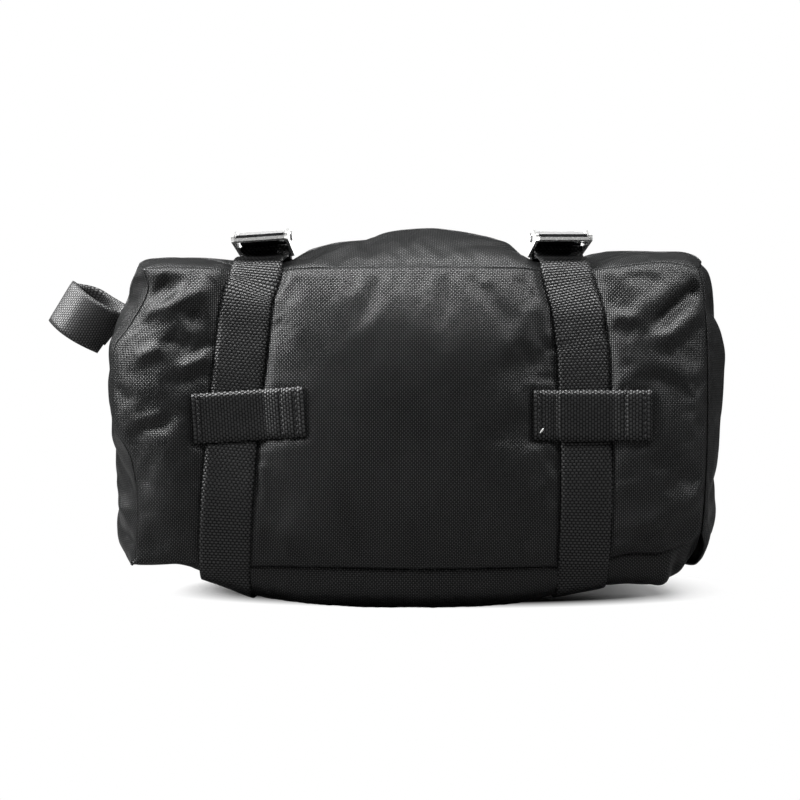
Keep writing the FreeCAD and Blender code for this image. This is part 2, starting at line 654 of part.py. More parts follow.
# ---------------------------------------------------------------- check and write
doc.recompute()
for item in doc.Objects:
    if "Invalid" in item.State or "Error" in item.State:
        raise RuntimeError(f"{item.Label} failed: {item.State}")
for item in subparts:
    if item.Shape.isNull() or not item.Shape.isValid() or not item.Shape.Solids:
        raise RuntimeError(f"{item.Label} has no valid solid")
os.makedirs("parts", exist_ok=True)
for item in subparts:
    item.Shape.exportStep(os.path.join("parts", item.Label + ".step"))
print(len(subparts), "sub-parts written")
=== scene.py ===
"""Looks of the pannier bag: sewn fabric shell, webbing, stitching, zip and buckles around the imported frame.

Everything is in metres in the frame's own axes.  Shapes are written in millimetres and scaled by MM.
"""
import math

import bmesh
import bpy
import numpy as np
from mathutils import Matrix, Vector
from mathutils.bvhtree import BVHTree


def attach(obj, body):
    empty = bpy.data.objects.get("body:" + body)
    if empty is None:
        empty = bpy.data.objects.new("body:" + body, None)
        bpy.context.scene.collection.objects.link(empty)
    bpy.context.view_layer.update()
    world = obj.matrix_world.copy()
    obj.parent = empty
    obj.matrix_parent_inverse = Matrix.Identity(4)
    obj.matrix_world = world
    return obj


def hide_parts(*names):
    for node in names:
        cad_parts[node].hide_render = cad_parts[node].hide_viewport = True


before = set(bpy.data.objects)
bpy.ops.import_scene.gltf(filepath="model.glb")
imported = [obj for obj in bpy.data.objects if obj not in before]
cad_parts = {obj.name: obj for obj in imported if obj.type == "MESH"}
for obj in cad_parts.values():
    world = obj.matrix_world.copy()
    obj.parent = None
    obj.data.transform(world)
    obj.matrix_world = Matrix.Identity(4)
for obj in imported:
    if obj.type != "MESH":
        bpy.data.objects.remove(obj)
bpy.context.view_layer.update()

MM = 0.001
random = np.random.default_rng(7)
scene = bpy.context.scene


# ================================================================ curves and small helpers
def spline(points, count, closed=False):
    """Catmull-Rom curve through points, sampled evenly along its length."""
    p = np.array(points, float)
    ends = (p[-1:], p[:1]) if closed else (2 * p[:1] - p[1:2], 2 * p[-1:] - p[-2:-1])
    q = np.vstack([ends[0], p, ends[1]])
    t = np.linspace(0, 1, 24, endpoint=False)[:, None]
    runs = []
    for i in range(1, len(q) - 2):
        a, b, c, d = q[i - 1], q[i], q[i + 1], q[i + 2]
        runs.append(0.5 * (2 * b + (c - a) * t + (2 * a - 5 * b + 4 * c - d) * t ** 2
                           + (3 * b - a - 3 * c + d) * t ** 3))
    fine = np.vstack(runs + [p[-1:]])
    length = np.concatenate([[0], np.cumsum(np.linalg.norm(np.diff(fine, axis=0), axis=1))])
    at = np.linspace(0, length[-1], count)
    return np.stack([np.interp(at, length, fine[:, k]) for k in range(fine.shape[1])], 1)


def curve_value(x, table):
    """Smooth value of a table of (place, value) pairs."""
    fine = spline(table, 12 * len(table))
    return np.interp(x, fine[:, 0], fine[:, 1])


def smooth_step(x, low, high):
    t = np.clip((x - low) / (high - low), 0, 1)
    return t * t * (3 - 2 * t)


def value_noise(p, size, seed):
    """Smooth noise between -1 and 1 at points p (n, 3), with features of about the given size."""
    q = np.asarray(p) / size
    cell = np.floor(q).astype(int)
    f = q - cell
    f = f * f * (3 - 2 * f)
    total = np.zeros(len(q))
    for dx in (0, 1):
        for dy in (0, 1):
            for dz in (0, 1):
                c = cell + (dx, dy, dz)
                key = (c[:, 0] * 73856093) ^ (c[:, 1] * 19349663) ^ (c[:, 2] * 83492791) ^ (seed * 2654435761)
                v = ((key % 1000003) * 16807 % 2147483647) / 2147483647 * 2 - 1
                w = (np.where(dx, f[:, 0], 1 - f[:, 0]) * np.where(dy, f[:, 1], 1 - f[:, 1])
                     * np.where(dz, f[:, 2], 1 - f[:, 2]))
                total += v * w
    return total


def new_mesh(name, points_mm, faces, uvs=None, smooth=True):
    """Mesh object from points in millimetres; uvs are per vertex, in millimetres of cloth."""
    mesh = bpy.data.meshes.new(name)
    mesh.from_pydata((np.asarray(points_mm) * MM).tolist(), [], [tuple(int(i) for i in f) for f in faces])
    if uvs is not None:
        layer = mesh.uv_layers.new(name="cloth")
        loops = np.zeros(len(mesh.loops), int)
        mesh.loops.foreach_get("vertex_index", loops)
        layer.data.foreach_set("uv", (np.asarray(uvs, float)[loops] * MM).astype(np.float32).ravel())
    if smooth:
        mesh.polygons.foreach_set("use_smooth", [True] * len(mesh.polygons))
    mesh.update()
    obj = bpy.data.objects.new(name, mesh)
    scene.collection.objects.link(obj)
    return obj


def apply_modifiers(obj):
    graph = bpy.context.evaluated_depsgraph_get()
    mesh = bpy.data.meshes.new_from_object(obj.evaluated_get(graph))
    obj.modifiers.clear()
    obj.data = mesh
    return obj


# ================================================================ materials
class Nodes:
    """A material's node tree with short ways to add and join nodes."""

    def __init__(self, name):
        self.material = bpy.data.materials.new(name)
        self.material.use_nodes = True
        self.tree = self.material.node_tree
        self.bsdf = self.tree.nodes["Principled BSDF"]

    def add(self, kind, **inputs):
        node = self.tree.nodes.new(kind)
        for key, value in inputs.items():
            setattr(node, key, value)
        return node

    def join(self, a, b):
        self.tree.links.new(a, b)

    def put(self, target, value):
        if hasattr(value, "is_output"):
            self.join(value, target)
        else:
            target.default_value = value

    def math(self, operation, a, b=0.0, clamp=False):
        node = self.add("ShaderNodeMath", operation=operation, use_clamp=clamp)
        self.put(node.inputs[0], a)
        self.put(node.inputs[1], b)
        return node.outputs[0]

    def noise(self, scale, detail=2.0, vector=None):
        node = self.add("ShaderNodeTexNoise")
        node.inputs["Scale"].default_value = scale
        node.inputs["Detail"].default_value = detail
        if vector is not None:
            self.join(vector, node.inputs["Vector"])
        return node.outputs["Fac"]

    def bump(self, height, distance, strength=1.0, below=None):
        node = self.add("ShaderNodeBump")
        node.inputs["Distance"].default_value = distance
        node.inputs["Strength"].default_value = strength
        self.join(height, node.inputs["Height"])
        if below is not None:
            self.join(below, node.inputs["Normal"])
        return node.outputs["Normal"]

    def cloth_uv(self):
        uv = self.add("ShaderNodeUVMap", uv_map="cloth")
        split = self.add("ShaderNodeSeparateXYZ")
        self.join(uv.outputs["UV"], split.inputs[0])
        return split.outputs["X"], split.outputs["Y"], uv.outputs["UV"]

    def ramp(self, value, low, high, out_low, out_high):
        node = self.add("ShaderNodeMapRange")
        for key, v in zip(("From Min", "From Max", "To Min", "To Max"), (low, high, out_low, out_high)):
            node.inputs[key].default_value = v
        self.join(value, node.inputs["Value"])
        return node.outputs["Result"]

    def position(self):
        return self.add("ShaderNodeTexCoord").outputs["Object"]


def weave_height(n, u, v, pitch_u, pitch_v):
    """Plain weave: cells that bulge along the cloth and across it by turns."""
    cu, cv = n.math("DIVIDE", u, pitch_u), n.math("DIVIDE", v, pitch_v)
    parity = n.math("FLOORED_MODULO", n.math("ADD", n.math("FLOOR", cu), n.math("FLOOR", cv)), 2.0)
    hump_u = n.math("ABSOLUTE", n.math("SINE", n.math("MULTIPLY", cu, math.pi)))
    hump_v = n.math("ABSOLUTE", n.math("SINE", n.math("MULTIPLY", cv, math.pi)))
    over = n.math("MULTIPLY", hump_u, n.math("ADD", n.math("MULTIPLY", hump_v, 0.45), 0.55))
    under = n.math("MULTIPLY", n.math("MULTIPLY", hump_v, 0.5), n.math("ADD", n.math("MULTIPLY", hump_u, 0.45), 0.55))
    first = n.math("MULTIPLY", over, parity)
    second = n.math("MULTIPLY", under, n.math("SUBTRACT", 1.0, parity))
    return n.math("ADD", first, second)


def twill_height(n, u, v, pitch_u, pitch_v):
    """Webbing face: rows of rounded picks across the strap, each row set half a pick over."""
    row = n.math("DIVIDE", u, pitch_u)
    odd = n.math("FLOORED_MODULO", n.math("FLOOR", row), 2.0)
    across = n.math("ADD", n.math("DIVIDE", v, pitch_v), n.math("MULTIPLY", odd, 0.5))
    hump_u = n.math("ABSOLUTE", n.math("SINE", n.math("MULTIPLY", row, math.pi)))
    hump_v = n.math("ABSOLUTE", n.math("SINE", n.math("MULTIPLY", across, math.pi)))
    return n.math("MULTIPLY", n.math("POWER", hump_u, 0.7), n.math("POWER", hump_v, 0.7))


def cloth_material(name, color, roughness, pitch, depth, weave, sheen=0.1, specular=0.5, crease=0.3):
    n = Nodes(name)
    u, v, uv = n.cloth_uv()
    height = weave(n, u, v, pitch[0] * MM, pitch[1] * MM)
    yarn = n.noise(900, 3, n.position())
    broad = n.noise(24, 3, n.position())
    wear_and_lit_top = n.noise(160, 3, n.position())
    # Base colour: random yarn tone, plus painted shade in the weave's hollows and painted light on its crowns. The
    # colour darkens where the weave height is low and lightens where it is high.
    painted_light_mix = n.add("ShaderNodeMix", data_type="RGBA")
    painted_hollow_shade = tuple(c * 0.45 for c in color) + (1,)
    painted_crown_light = tuple(min(1, c * 1.5) for c in color) + (1,)
    n.put(painted_light_mix.inputs[0], n.math("MULTIPLY", height, n.ramp(yarn, 0.3, 0.7, 0.6, 1.1), clamp=True))
    painted_light_mix.inputs[6].default_value, painted_light_mix.inputs[7].default_value = painted_hollow_shade, painted_crown_light
    n.join(painted_light_mix.outputs[2], n.bsdf.inputs["Base Color"])
    rough = n.math("ADD", n.ramp(broad, 0.3, 0.7, roughness - 0.05, roughness + 0.05),
                   n.ramp(wear_and_lit_top, 0.3, 0.7, -0.03, 0.03))
    n.join(rough, n.bsdf.inputs["Roughness"])
    n.join(n.math("MULTIPLY", n.ramp(height, 0.12, 0.95, 0.03, 1.3), specular), n.bsdf.inputs["Specular IOR Level"])
    n.bsdf.inputs["Sheen Weight"].default_value = sheen
    n.bsdf.inputs["Sheen Roughness"].default_value = 0.4
    rumple = n.bump(n.noise(85, 3, n.position()), 0.9 * MM, crease)
    fuzz = n.bump(yarn, 0.05 * MM, 0.5, rumple)
    n.join(n.bump(height, depth * MM, 1.0, fuzz), n.bsdf.inputs["Normal"])
    return n.material


def plain_material(name, color, roughness, metallic=0.0, scratch=0.0, specular=0.5):
    n = Nodes(name)
    n.bsdf.inputs["Base Color"].default_value = (*color, 1)
    n.bsdf.inputs["Metallic"].default_value = metallic
    n.bsdf.inputs["Specular IOR Level"].default_value = specular
    speckle = n.noise(700, 4, n.position())
    n.join(n.ramp(speckle, 0.3, 0.7, roughness * 0.8, roughness * 1.25), n.bsdf.inputs["Roughness"])
    if scratch:
        n.join(n.bump(n.noise(1800, 2, n.position()), scratch * MM, 0.6), n.bsdf.inputs["Normal"])
    return n.material


SHELL = cloth_material("shell_cloth", (0.0085, 0.009, 0.0092), 0.375, (0.9, 0.9), 0.18, weave_height, 0.02, 0.9)
WEBBING = cloth_material("webbing_cloth", (0.009, 0.0092, 0.0095), 0.40, (1.45, 2.05), 0.22, twill_height, 0.02, 0.75, 0.1)
LOOP_WEB = cloth_material("loop_webbing_cloth", (0.022, 0.022, 0.0225), 0.45, (1.2, 1.5), 0.12, twill_height, 0.1, 1.1, 0.1)
LINING = cloth_material("lining_cloth", (0.05, 0.05, 0.055), 0.6, (0.4, 0.4), 0.04, weave_height)
TAPE = cloth_material("tape_cloth", (0.012, 0.012, 0.013), 0.6, (0.8, 0.6), 0.08, weave_height)
THREAD = plain_material("thread", (0.014, 0.014, 0.015), 0.45)
FLECK = plain_material("loose_thread_end", (0.75, 0.75, 0.74), 0.6)
NICKEL = plain_material("nickel_plate", (0.72, 0.72, 0.71), 0.25, 0.6, 0.001)
LEVER = plain_material("black_coating_lit_top", (0.010, 0.010, 0.011), 0.33)
# Painted top light on the black lever: faces turned upwards are coloured light grey, faces turned sideways and down
# stay black, standing in for light from above.
wear_and_lit_top = Nodes.__new__(Nodes)
wear_and_lit_top.material, wear_and_lit_top.tree, wear_and_lit_top.bsdf = LEVER, LEVER.node_tree, LEVER.node_tree.nodes["Principled BSDF"]
facing = wear_and_lit_top.add("ShaderNodeSeparateXYZ")
wear_and_lit_top.join(wear_and_lit_top.add("ShaderNodeNewGeometry").outputs["Normal"], facing.inputs[0])
painted_light_mix = wear_and_lit_top.add("ShaderNodeMix", data_type="RGBA")
wear_and_lit_top.join(wear_and_lit_top.ramp(facing.outputs["Z"], 0.1, 0.5, 0.0, 1.0), painted_light_mix.inputs[0])
painted_light_mix.inputs[6].default_value, painted_light_mix.inputs[7].default_value = (0.010, 0.010, 0.011, 1), (0.33, 0.33, 0.33, 1)
wear_and_lit_top.join(painted_light_mix.outputs[2], wear_and_lit_top.bsdf.inputs["Base Color"])
STEEL = plain_material("pin_steel", (0.6, 0.6, 0.6), 0.28, 1.0)
COIL = plain_material("coil_plastic", (0.012, 0.012, 0.013), 0.38)
ZIP_METAL = plain_material("zip_metal", (0.02, 0.02, 0.022), 0.35, 0.6, 0.003)
FOAM = plain_material("foam", (0.04, 0.04, 0.042), 0.9)
BOARD = plain_material("board", (0.03, 0.03, 0.032), 0.5)


# ================================================================ the sewn shell
corner = {
    "back_top_left": (-136, -61, 175.5), "back_top_right": (141, -61, 174.8),
    "back_low_left": (-142, -62, 28), "back_low_right": (142, -61, 44),
    "front_top_left": (-134, 62, 176), "front_top_right": (139, 62, 176),
    "front_low_left": (-139, 62, 28), "front_low_right": (139, 62, 34),
}
ZIP_REAR, ZIP_FRONT, ZIP_Z = 29.2, 40.8, 189.5
ZIP_ENDS = {("left", "rear"): (-147, ZIP_REAR, 186.5), ("left", "front"): (-147, ZIP_FRONT, 186),
            ("right", "rear"): (152, ZIP_REAR, 187.5), ("right", "front"): (152, ZIP_FRONT, 187)}


def seam(first, last, *between):
    ends = [corner[k] if isinstance(k, str) else k for k in (first, last)]
    return [ends[0], *between, ends[1]]


SEAMS = {
    "back_top": seam("back_top_left", "back_top_right", (-122, -61.5, 176.3), (-104, -61, 175.8), (-92, -58.6, 175.2),
                     (-80, -57.6, 174.8), (-67, -58.8, 175.2), (-50, -62, 175.8), (0, -63, 176.2), (45, -62, 175.8),
                     (62, -58.8, 175.2), (76, -57.6, 174.8), (89, -58.6, 175.4), (100, -61, 176.4), (120, -61.5, 178.6), (132, -61.5, 177.6)),
    "back_bottom": seam("back_low_left", "back_low_right", (-122, -62, 28.8), (-112, -62, 28.4), (-104, -62, 27.6),
                        (-93, -62, 27.2), (-60, -63, 27.2), (0, -64, 26.2), (60, -63, 27), (83, -62, 28),
                        (96, -62, 31.2), (108, -62, 33.6), (121, -62, 33.6), (130, -61.5, 36.6), (137, -61, 39.4)),
    "back_left": seam("back_low_left", "back_top_left", (-139.6, -62, 33), (-138.4, -62, 58), (-142, -61, 81),
                      (-150, -60, 96), (-152, -59, 118), (-151, -59, 136), (-143, -60, 147),
                      (-133.5, -61, 164)),
    "back_right": seam("back_low_right", "back_top_right", (143.4, -61, 58), (144.8, -61, 85),
                       (145.2, -61, 110), (144.8, -61, 140), (143.2, -61, 165)),
    "front_top": seam("front_top_left", "front_top_right", (-80, 63, 176), (0, 64, 177), (80, 63, 176)),
    "front_bottom": seam("front_low_left", "front_low_right", (-90, 63, 26), (0, 64, 24), (90, 63, 26)),
    "front_left": seam("front_low_left", "front_top_left", (-140, 61, 60), (-144, 60, 100), (-143, 60, 140)),
    "front_right": seam("front_low_right", "front_top_right", (142, 61, 60), (144, 61, 100), (144, 61, 140)),
    "left_top_rear": seam("back_top_left", ZIP_ENDS["left", "rear"], (-143, -40, 180.5), (-147, -8, 185)),
    "left_top_zip": seam(ZIP_ENDS["left", "rear"], ZIP_ENDS["left", "front"], (-147.4, 35, 186.3)),
    "left_top_front": seam(ZIP_ENDS["left", "front"], "front_top_left", (-143, 53, 181)),
    "right_top_rear": seam("back_top_right", ZIP_ENDS["right", "rear"], (148, -40, 181), (153, -8, 186.5)),
    "right_top_zip": seam(ZIP_ENDS["right", "rear"], ZIP_ENDS["right", "front"], (152.4, 35, 187.3)),
    "right_top_front": seam(ZIP_ENDS["right", "front"], "front_top_right", (147, 53, 181)),
    "left_bottom": seam("back_low_left", "front_low_left", (-147, -35, 25), (-149, 0, 24), (-147, 35, 25)),
    "right_bottom": seam("back_low_right", "front_low_right", (141.5, -54, 35), (140, -46, 28), (141, -30, 23), (143, 0, 20.5),
                         (143, 35, 22)),
    "zip_rear": seam(ZIP_ENDS["left", "rear"], ZIP_ENDS["right", "rear"], (-134, ZIP_REAR, 188),
                     (-124, ZIP_REAR, ZIP_Z), (-60, ZIP_REAR, ZIP_Z), (0, ZIP_REAR, ZIP_Z),
                     (60, ZIP_REAR, ZIP_Z), (124, ZIP_REAR, ZIP_Z), (137, ZIP_REAR, 188.2)),
    "zip_front": seam(ZIP_ENDS["left", "front"], ZIP_ENDS["right", "front"], (-134, ZIP_FRONT, 188),
                      (-124, ZIP_FRONT, ZIP_Z), (-60, ZIP_FRONT, ZIP_Z), (0, ZIP_FRONT, ZIP_Z),
                      (60, ZIP_FRONT, ZIP_Z), (124, ZIP_FRONT, ZIP_Z), (137, ZIP_FRONT, 188.2)),
}

LONG, HIGH, DEEP, BAND, NEAR = 161, 81, 45, 5, 9       # points along length, height, depth, zip, outer strip


def coons(low, high, left, right):
    """Grid spanned by four edge curves: low and high run along u, left and right along v."""
    nu, nv = len(low), len(left)
    u, v = np.linspace(0, 1, nu)[None, :, None], np.linspace(0, 1, nv)[:, None, None]
    ruled = (1 - v) * low[None] + v * high[None] + (1 - u) * left[:, None] + u * right[:, None]
    corners = ((1 - u) * (1 - v) * low[0] + u * (1 - v) * low[-1] + (1 - u) * v * high[0] + u * v * high[-1])
    return ruled - corners


def rim_distance(grid):
    """Distance of each grid point from the nearest edge of its patch, in millimetres."""
    nv, nu = grid.shape[:2]
    du = np.linalg.norm(np.diff(grid, axis=1), axis=2).mean()
    dv = np.linalg.norm(np.diff(grid, axis=0), axis=2).mean()
    i, j = np.arange(nu)[None, :], np.arange(nv)[:, None]
    return np.minimum(np.minimum(i, nu - 1 - i) * du, np.minimum(j, nv - 1 - j) * dv)


def fold_height(a, b, folds):
    """Sum of ridges and hollows over a panel's own two coordinates."""
    total = np.zeros_like(a)
    for (a0, b0), (a1, b1), width, height in folds:
        length = math.hypot(a1 - a0, b1 - b0)
        ta, tb = (a1 - a0) / length, (b1 - b0) / length
        s = (a - a0) * ta + (b - b0) * tb
        d = -(a - a0) * tb + (b - b0) * ta
        reach = np.clip(s / length, -0.6, 1.6)
        along = np.exp(-np.clip(np.abs(reach - 0.5) - 0.32, 0, None) ** 2 / 0.06)
        total += height * along * np.exp(-(d / width) ** 2)
    return total


# ridges (+) and hollows (-) of the rack side: from, to, width, height, in x and z
BACK_FOLDS = [
    # left end, above and beside the strap
    ((-127, 169), (-120, 163), 7, -2.8), ((-136, 154), (-121, 156), 4.6, 2.2), ((-120, 156), (-103, 165), 4.6, 2.3),
    ((-114, 149), (-107, 153), 6, -2.3), ((-122, 141), (-113, 135), 6, -1.8),
    ((-137, 131), (-126, 135), 3.6, 2.2), ((-115, 125), (-101, 132), 3.6, 2.4),
    ((-139, 99.5), (-125, 102.8), 2.4, 1.5), ((-137, 96), (-122, 98), 3.5, -1.0), ((-146, 118), (-124, 114), 5, 0.8),
    ((-137, 62), (-118, 48), 7, 0.9), ((-134, 36), (-112, 52), 6, -0.9), ((-118, 84), (-106, 70), 6, -0.6),
    # right end
    ((141, 167), (118, 147), 3.4, -4.4), ((141, 155), (121, 139), 4.8, 3.2), ((132, 169), (106, 152), 5, 1.4),
    ((92, 153), (108, 149), 3.4, 1.8), ((104, 172), (120, 168), 4, -0.7), ((97, 145), (106, 141), 4, -0.9),
    ((112, 128), (143, 122), 6, 1.0), ((140, 62), (100, 43), 7, 2.0), ((96, 37), (124, 40), 3.5, 2.2),
    # between the straps
    ((-68, 168), (-56, 140), 6, 0.9), ((62, 158), (44, 132), 7, 1.3), ((66, 138), (56, 124), 4, -0.9),
    ((-66, 46), (-30, 33), 7, 0.8), ((-40, 44), (20, 36), 8, -0.6), ((20, 38), (66, 33), 6, 0.7),
]
TOP_FOLDS = [
    ((-58, -50), (-30, -30), 5, -1.4), ((-40, -45), (-8, -20), 5, 1.2), ((20, -48), (52, -36), 5, -1.8),
    ((36, -40), (60, -20), 4.5, 1.6), ((100, -52), (140, -46), 4, 1.2), ((96, -44), (134, -34), 4, -1.4),
    ((-128, -50), (-104, -40), 4, 1.0), ((-132, -38), (-108, -24), 4, -1.2), ((0, -52), (10, -20), 6, 0.8),
    ((-20, -10), (40, 5), 8, 1.0),
]
LEFT_FOLDS = [
    ((-56, 52), (-30, 66), 5, 3.2), ((-58, 40), (-28, 48), 4, -2.4), ((-58, 66), (-34, 84), 4, -2.0),
    ((-40, 86), (-40, 124), 7, 1.8), ((-20, 60), (10, 100), 7, -1.4), ((0, 40), (30, 70), 6, 1.6),
    ((-54, 158), (-20, 166), 4, -1.2), ((-40, 148), (0, 158), 5, 1.2), ((20, 120), (44, 150), 6, 1.4),
    ((-58, 176.5), (-40, 178.5), 2.4, -3.4), ((-59, 172.4), (-42, 173.4), 1.3, 1.3),
]
RIGHT_FOLDS = [
    ((-54, 158), (-20, 150), 5, -1.8), ((-50, 140), (-15, 128), 6, 0.8), ((-56, 60), (-20, 74), 5, -1.4),
    ((-50, 44), (-12, 58), 5, 1.6), ((0, 90), (30, 120), 7, 1.5), ((20, 50), (44, 76), 6, -1.4),
]
LEFT_REACH = [(20, 146), (24, 149), (28, 152), (36, 157), (45, 158.7), (53, 157.5), (62, 155), (68, 157), (75, 158.5),
              (83, 158.3), (90, 157.3), (100, 156.5), (115, 158), (136, 160), (147, 157.5), (160, 154.5), (172, 151),
              (178, 148.5), (184, 147)]
RIGHT_REACH = [(18, 144), (22, 148), (26, 151), (33, 154), (39, 156), (52, 158), (84, 160.5), (100, 161.8), (112, 163),
               (129, 163.6), (140, 163.2), (149, 161.5), (161, 158), (174, 156), (180, 153), (184, 151)]
BOTTOM_FOLDS = [
    ((-124, -40), (-118, 30), 6, 0.8), ((125, -61), (124, -44), 2.6, 1.2),
    ((-60, -52), (-20, -46), 5, 0.8), ((10, -50), (60, -54), 5, -0.8),
]


def relief(points, grid, size=1.0, seed=1):
    """Loose cloth between seams: soft noise that dies out at the edge, and small puckers along it."""
    d = rim_distance(grid)
    flat = grid.reshape(-1, 3)
    soft = (value_noise(flat, 30, seed) * 0.9 + value_noise(flat, 13, seed + 1) * 0.45
            + value_noise(flat, 6.5, seed + 2) * 0.16).reshape(d.shape)
    pucker = value_noise(flat, 7, seed + 3).reshape(d.shape) * np.exp(-d / 7)
    rise = 1.3 * (1 - np.exp(-d / 2.2))
    return rise + (soft * size + 0.7 * pucker) * smooth_step(d, 0, 9)


def arc(grid, axis):
    """Distance walked over a panel along its rows (axis 1) or columns (axis 0), in millimetres."""
    steps = np.linalg.norm(np.diff(grid, axis=axis), axis=2)
    steps = steps.mean(axis=1 - axis, keepdims=True) if axis == 0 else steps
    length = np.concatenate([np.zeros_like(np.take(steps, [0], axis)), np.cumsum(steps, axis)], axis)
    return np.broadcast_to(length, grid.shape[:2])


def sampled(name, count):
    return spline(SEAMS[name], count)


def build_patches():
    """Each panel as a grid of points (rows, columns, 3) with its cloth coordinates."""
    patches = {}
    # rack side
    base = coons(sampled("back_bottom", LONG), sampled("back_top", LONG), sampled("back_left", HIGH),
                 sampled("back_right", HIGH))
    x, z = base[..., 0], base[..., 2]
    u, v = np.meshgrid(np.linspace(0, 1, LONG), np.linspace(0, 1, HIGH))
    swell = curve_value(x, [(-155, 8), (-125, 10.2), (-104, 8), (-90, 6.6), (-70, 7.4), (-40, 10), (0, 11.5),
                            (40, 10.5), (66, 7.6), (82, 6.8), (96, 8), (118, 11), (150, 9)])
    dome = np.where(v > 0.55, 1 - (np.abs(v - 0.55) / 0.45) ** 2.0, 1 - (np.abs(0.55 - v) / 0.55) ** 3)
    dome = dome * (1 - np.abs(2 * u - 1) ** 10)
    out = swell * dome + fold_height(x, z, BACK_FOLDS) * smooth_step(rim_distance(base), 0, 8)
    out += relief(base, base, 0.4, 11) * (1 - 0.6 * strap_zone("shell_back", base, 15))
    back = base.copy()
    back[..., 1] -= out
    patches["shell_back"] = (back, np.stack([x, z], -1), "back_panel", -1)
    # outer side
    base = coons(sampled("front_bottom", LONG), sampled("front_top", LONG), sampled("front_left", HIGH),
                 sampled("front_right", HIGH))
    front = base.copy()
    front[..., 1] += 9 * (1 - np.abs(2 * v - 1) ** 2.4) * (1 - np.abs(2 * u - 1) ** 3) + relief(base, base, 1.3, 21)
    patches["shell_front"] = (front, base[..., [0, 2]], "front_panel", 1)
    # top, rack side of the zip
    base = coons(sampled("back_top", LONG), sampled("zip_rear", LONG), sampled("left_top_rear", DEEP),
                 sampled("right_top_rear", DEEP))
    x, y = base[..., 0], base[..., 1]
    crown = curve_value(x, [(-150, 185), (-128, 185.6), (-100, 184.6), (-78, 183.8), (-64, 187.6), (-46, 192.8),
                            (-30, 195.4), (-13, 198.6), (3, 200.9), (15, 201.0), (36, 198.2), (46, 195.4),
                            (54, 191), (62, 187), (76, 184.2), (92, 186.4), (104, 188.6), (125, 188.2),
                            (142, 188), (153, 187)])
    middle = np.array([np.interp(-8, y[:, i], base[:, i, 2]) for i in range(LONG)])[None, :]
    hump = np.where(y < -8, (1 - np.clip((y + 8) / 53, -1, 1) ** 2) ** 0.75, 1 - np.clip((y + 8) / 37, 0, 1) ** 2)
    top = base.copy()
    strap_band = np.exp(-((x + 79) / 17) ** 6) + np.exp(-((x - 75) / 17) ** 6)
    loose = relief(base, base, 0.9, 31) + fold_height(x, y, TOP_FOLDS) * smooth_step(rim_distance(base), 0, 8)
    top[..., 2] += (crown - middle) * hump + loose * (1 - 0.9 * strap_band) * smooth_step(-y, -29, -10)
    patches["shell_top_rear"] = (top, np.stack([x, arc(base, 0)], -1), "top_panel_rear", 1)
    # top, outer side of the zip
    base = coons(sampled("zip_front", LONG), sampled("front_top", LONG), sampled("left_top_front", NEAR),
                 sampled("right_top_front", NEAR))
    top = base.copy()
    d = rim_distance(base)
    top[..., 2] += 2.2 * smooth_step(d, 0, 9) + 0.5 * value_noise(base.reshape(-1, 3), 14, 41).reshape(d.shape) * smooth_step(d, 0, 8)
    patches["shell_top_front"] = (top, base[..., [0, 1]], "top_panel_front", 1)
    # ends, from the rack side round to the outer side; the tables give how far out they reach at each height
    rows = {}
    for side, sign, folds, reach in (("left", -1, LEFT_FOLDS, LEFT_REACH), ("right", 1, RIGHT_FOLDS, RIGHT_REACH)):
        upper = np.vstack([sampled(f"{side}_top_rear", DEEP), sampled(f"{side}_top_zip", BAND)[1:],
                           sampled(f"{side}_top_front", NEAR)[1:]])
        lower = sampled(f"{side}_bottom", len(upper))
        base = coons(lower, upper, sampled(f"back_{side}", HIGH), sampled(f"front_{side}", HIGH))
        y, z = base[..., 1], base[..., 2]
        middle = np.array([np.interp(-15, row[:, 1], row[:, 0]) for row in base])[:, None]
        bow = sign * (sign * curve_value(z, reach) - middle) - 1.3
        across = np.where(y < -15, 1 - np.clip((-15 - y) / 47, 0, 1) ** 2.4, 1 - np.clip((y + 15) / 77, 0, 1) ** 3)
        end = base.copy()
        end[..., 0] += sign * (bow * across + relief(base, base, 0.4, 51 if sign < 0 else 61)
                               + fold_height(y, z, folds) * smooth_step(rim_distance(base), 0, 8))
        patches[f"shell_{side}_end"] = (end, np.stack([arc(end, 1), z], -1), f"{side}_end_panel", -sign)
        rows[side] = lower
    # bottom
    base = coons(sampled("back_bottom", LONG), sampled("front_bottom", LONG), rows["left"], rows["right"])
    x, y = base[..., 0], base[..., 1]
    floor = curve_value(x, [(-150, 27), (-128, 28.5), (-118, 28), (-110, 23.5), (-104, 16), (-98, 12), (-92, 9.5), (-86, 7.4),
                            (-74, 4.2), (-60, 2.2), (-45, 1.2), (-25, 0.6), (0, 0.3), (30, 1.0), (45, 2.6), (56, 5), (70, 9),
                            (84, 12), (96, 14.5), (106, 15.5), (116, 15.5), (124, 15.5), (131, 16.5), (138, 19), (150, 22)])
    across = np.abs(np.linspace(-1, 1, base.shape[0]))[:, None]
    sag = np.interp(across, *zip((0, 1), (0.24, 0.985), (0.5, 0.88), (0.65, 0.79), (0.8, 0.66), (0.9, 0.49), (0.96, 0.28),
                                 (1, 0)))
    sag = sag * smooth_step(1 - np.abs(np.linspace(-1, 1, LONG)), 0, 0.05)[None, :]
    bottom = base.copy()
    lowered = base[..., 2] + (floor - base[..., 2]) * sag
    loose = relief(base, base, 0.5, 71) + fold_height(x, y, BOTTOM_FOLDS) * smooth_step(rim_distance(base), 0, 8)
    strap_band = np.exp(-((x + 95.5) / 15) ** 6) + np.exp(-((x - 83) / 15) ** 6)
    tucked = smooth_step(x, 127, 131) * smooth_step(rim_distance(base), 0, 5) * smooth_step(-y, 20, 50)
    bottom[..., 1] += 9 * tucked
    bottom[..., 2] = np.maximum(lowered - (loose - 0.9) * (1 - 0.9 * strap_band), 0.25 + 1.45 * np.clip(strap_band, 0, 1))
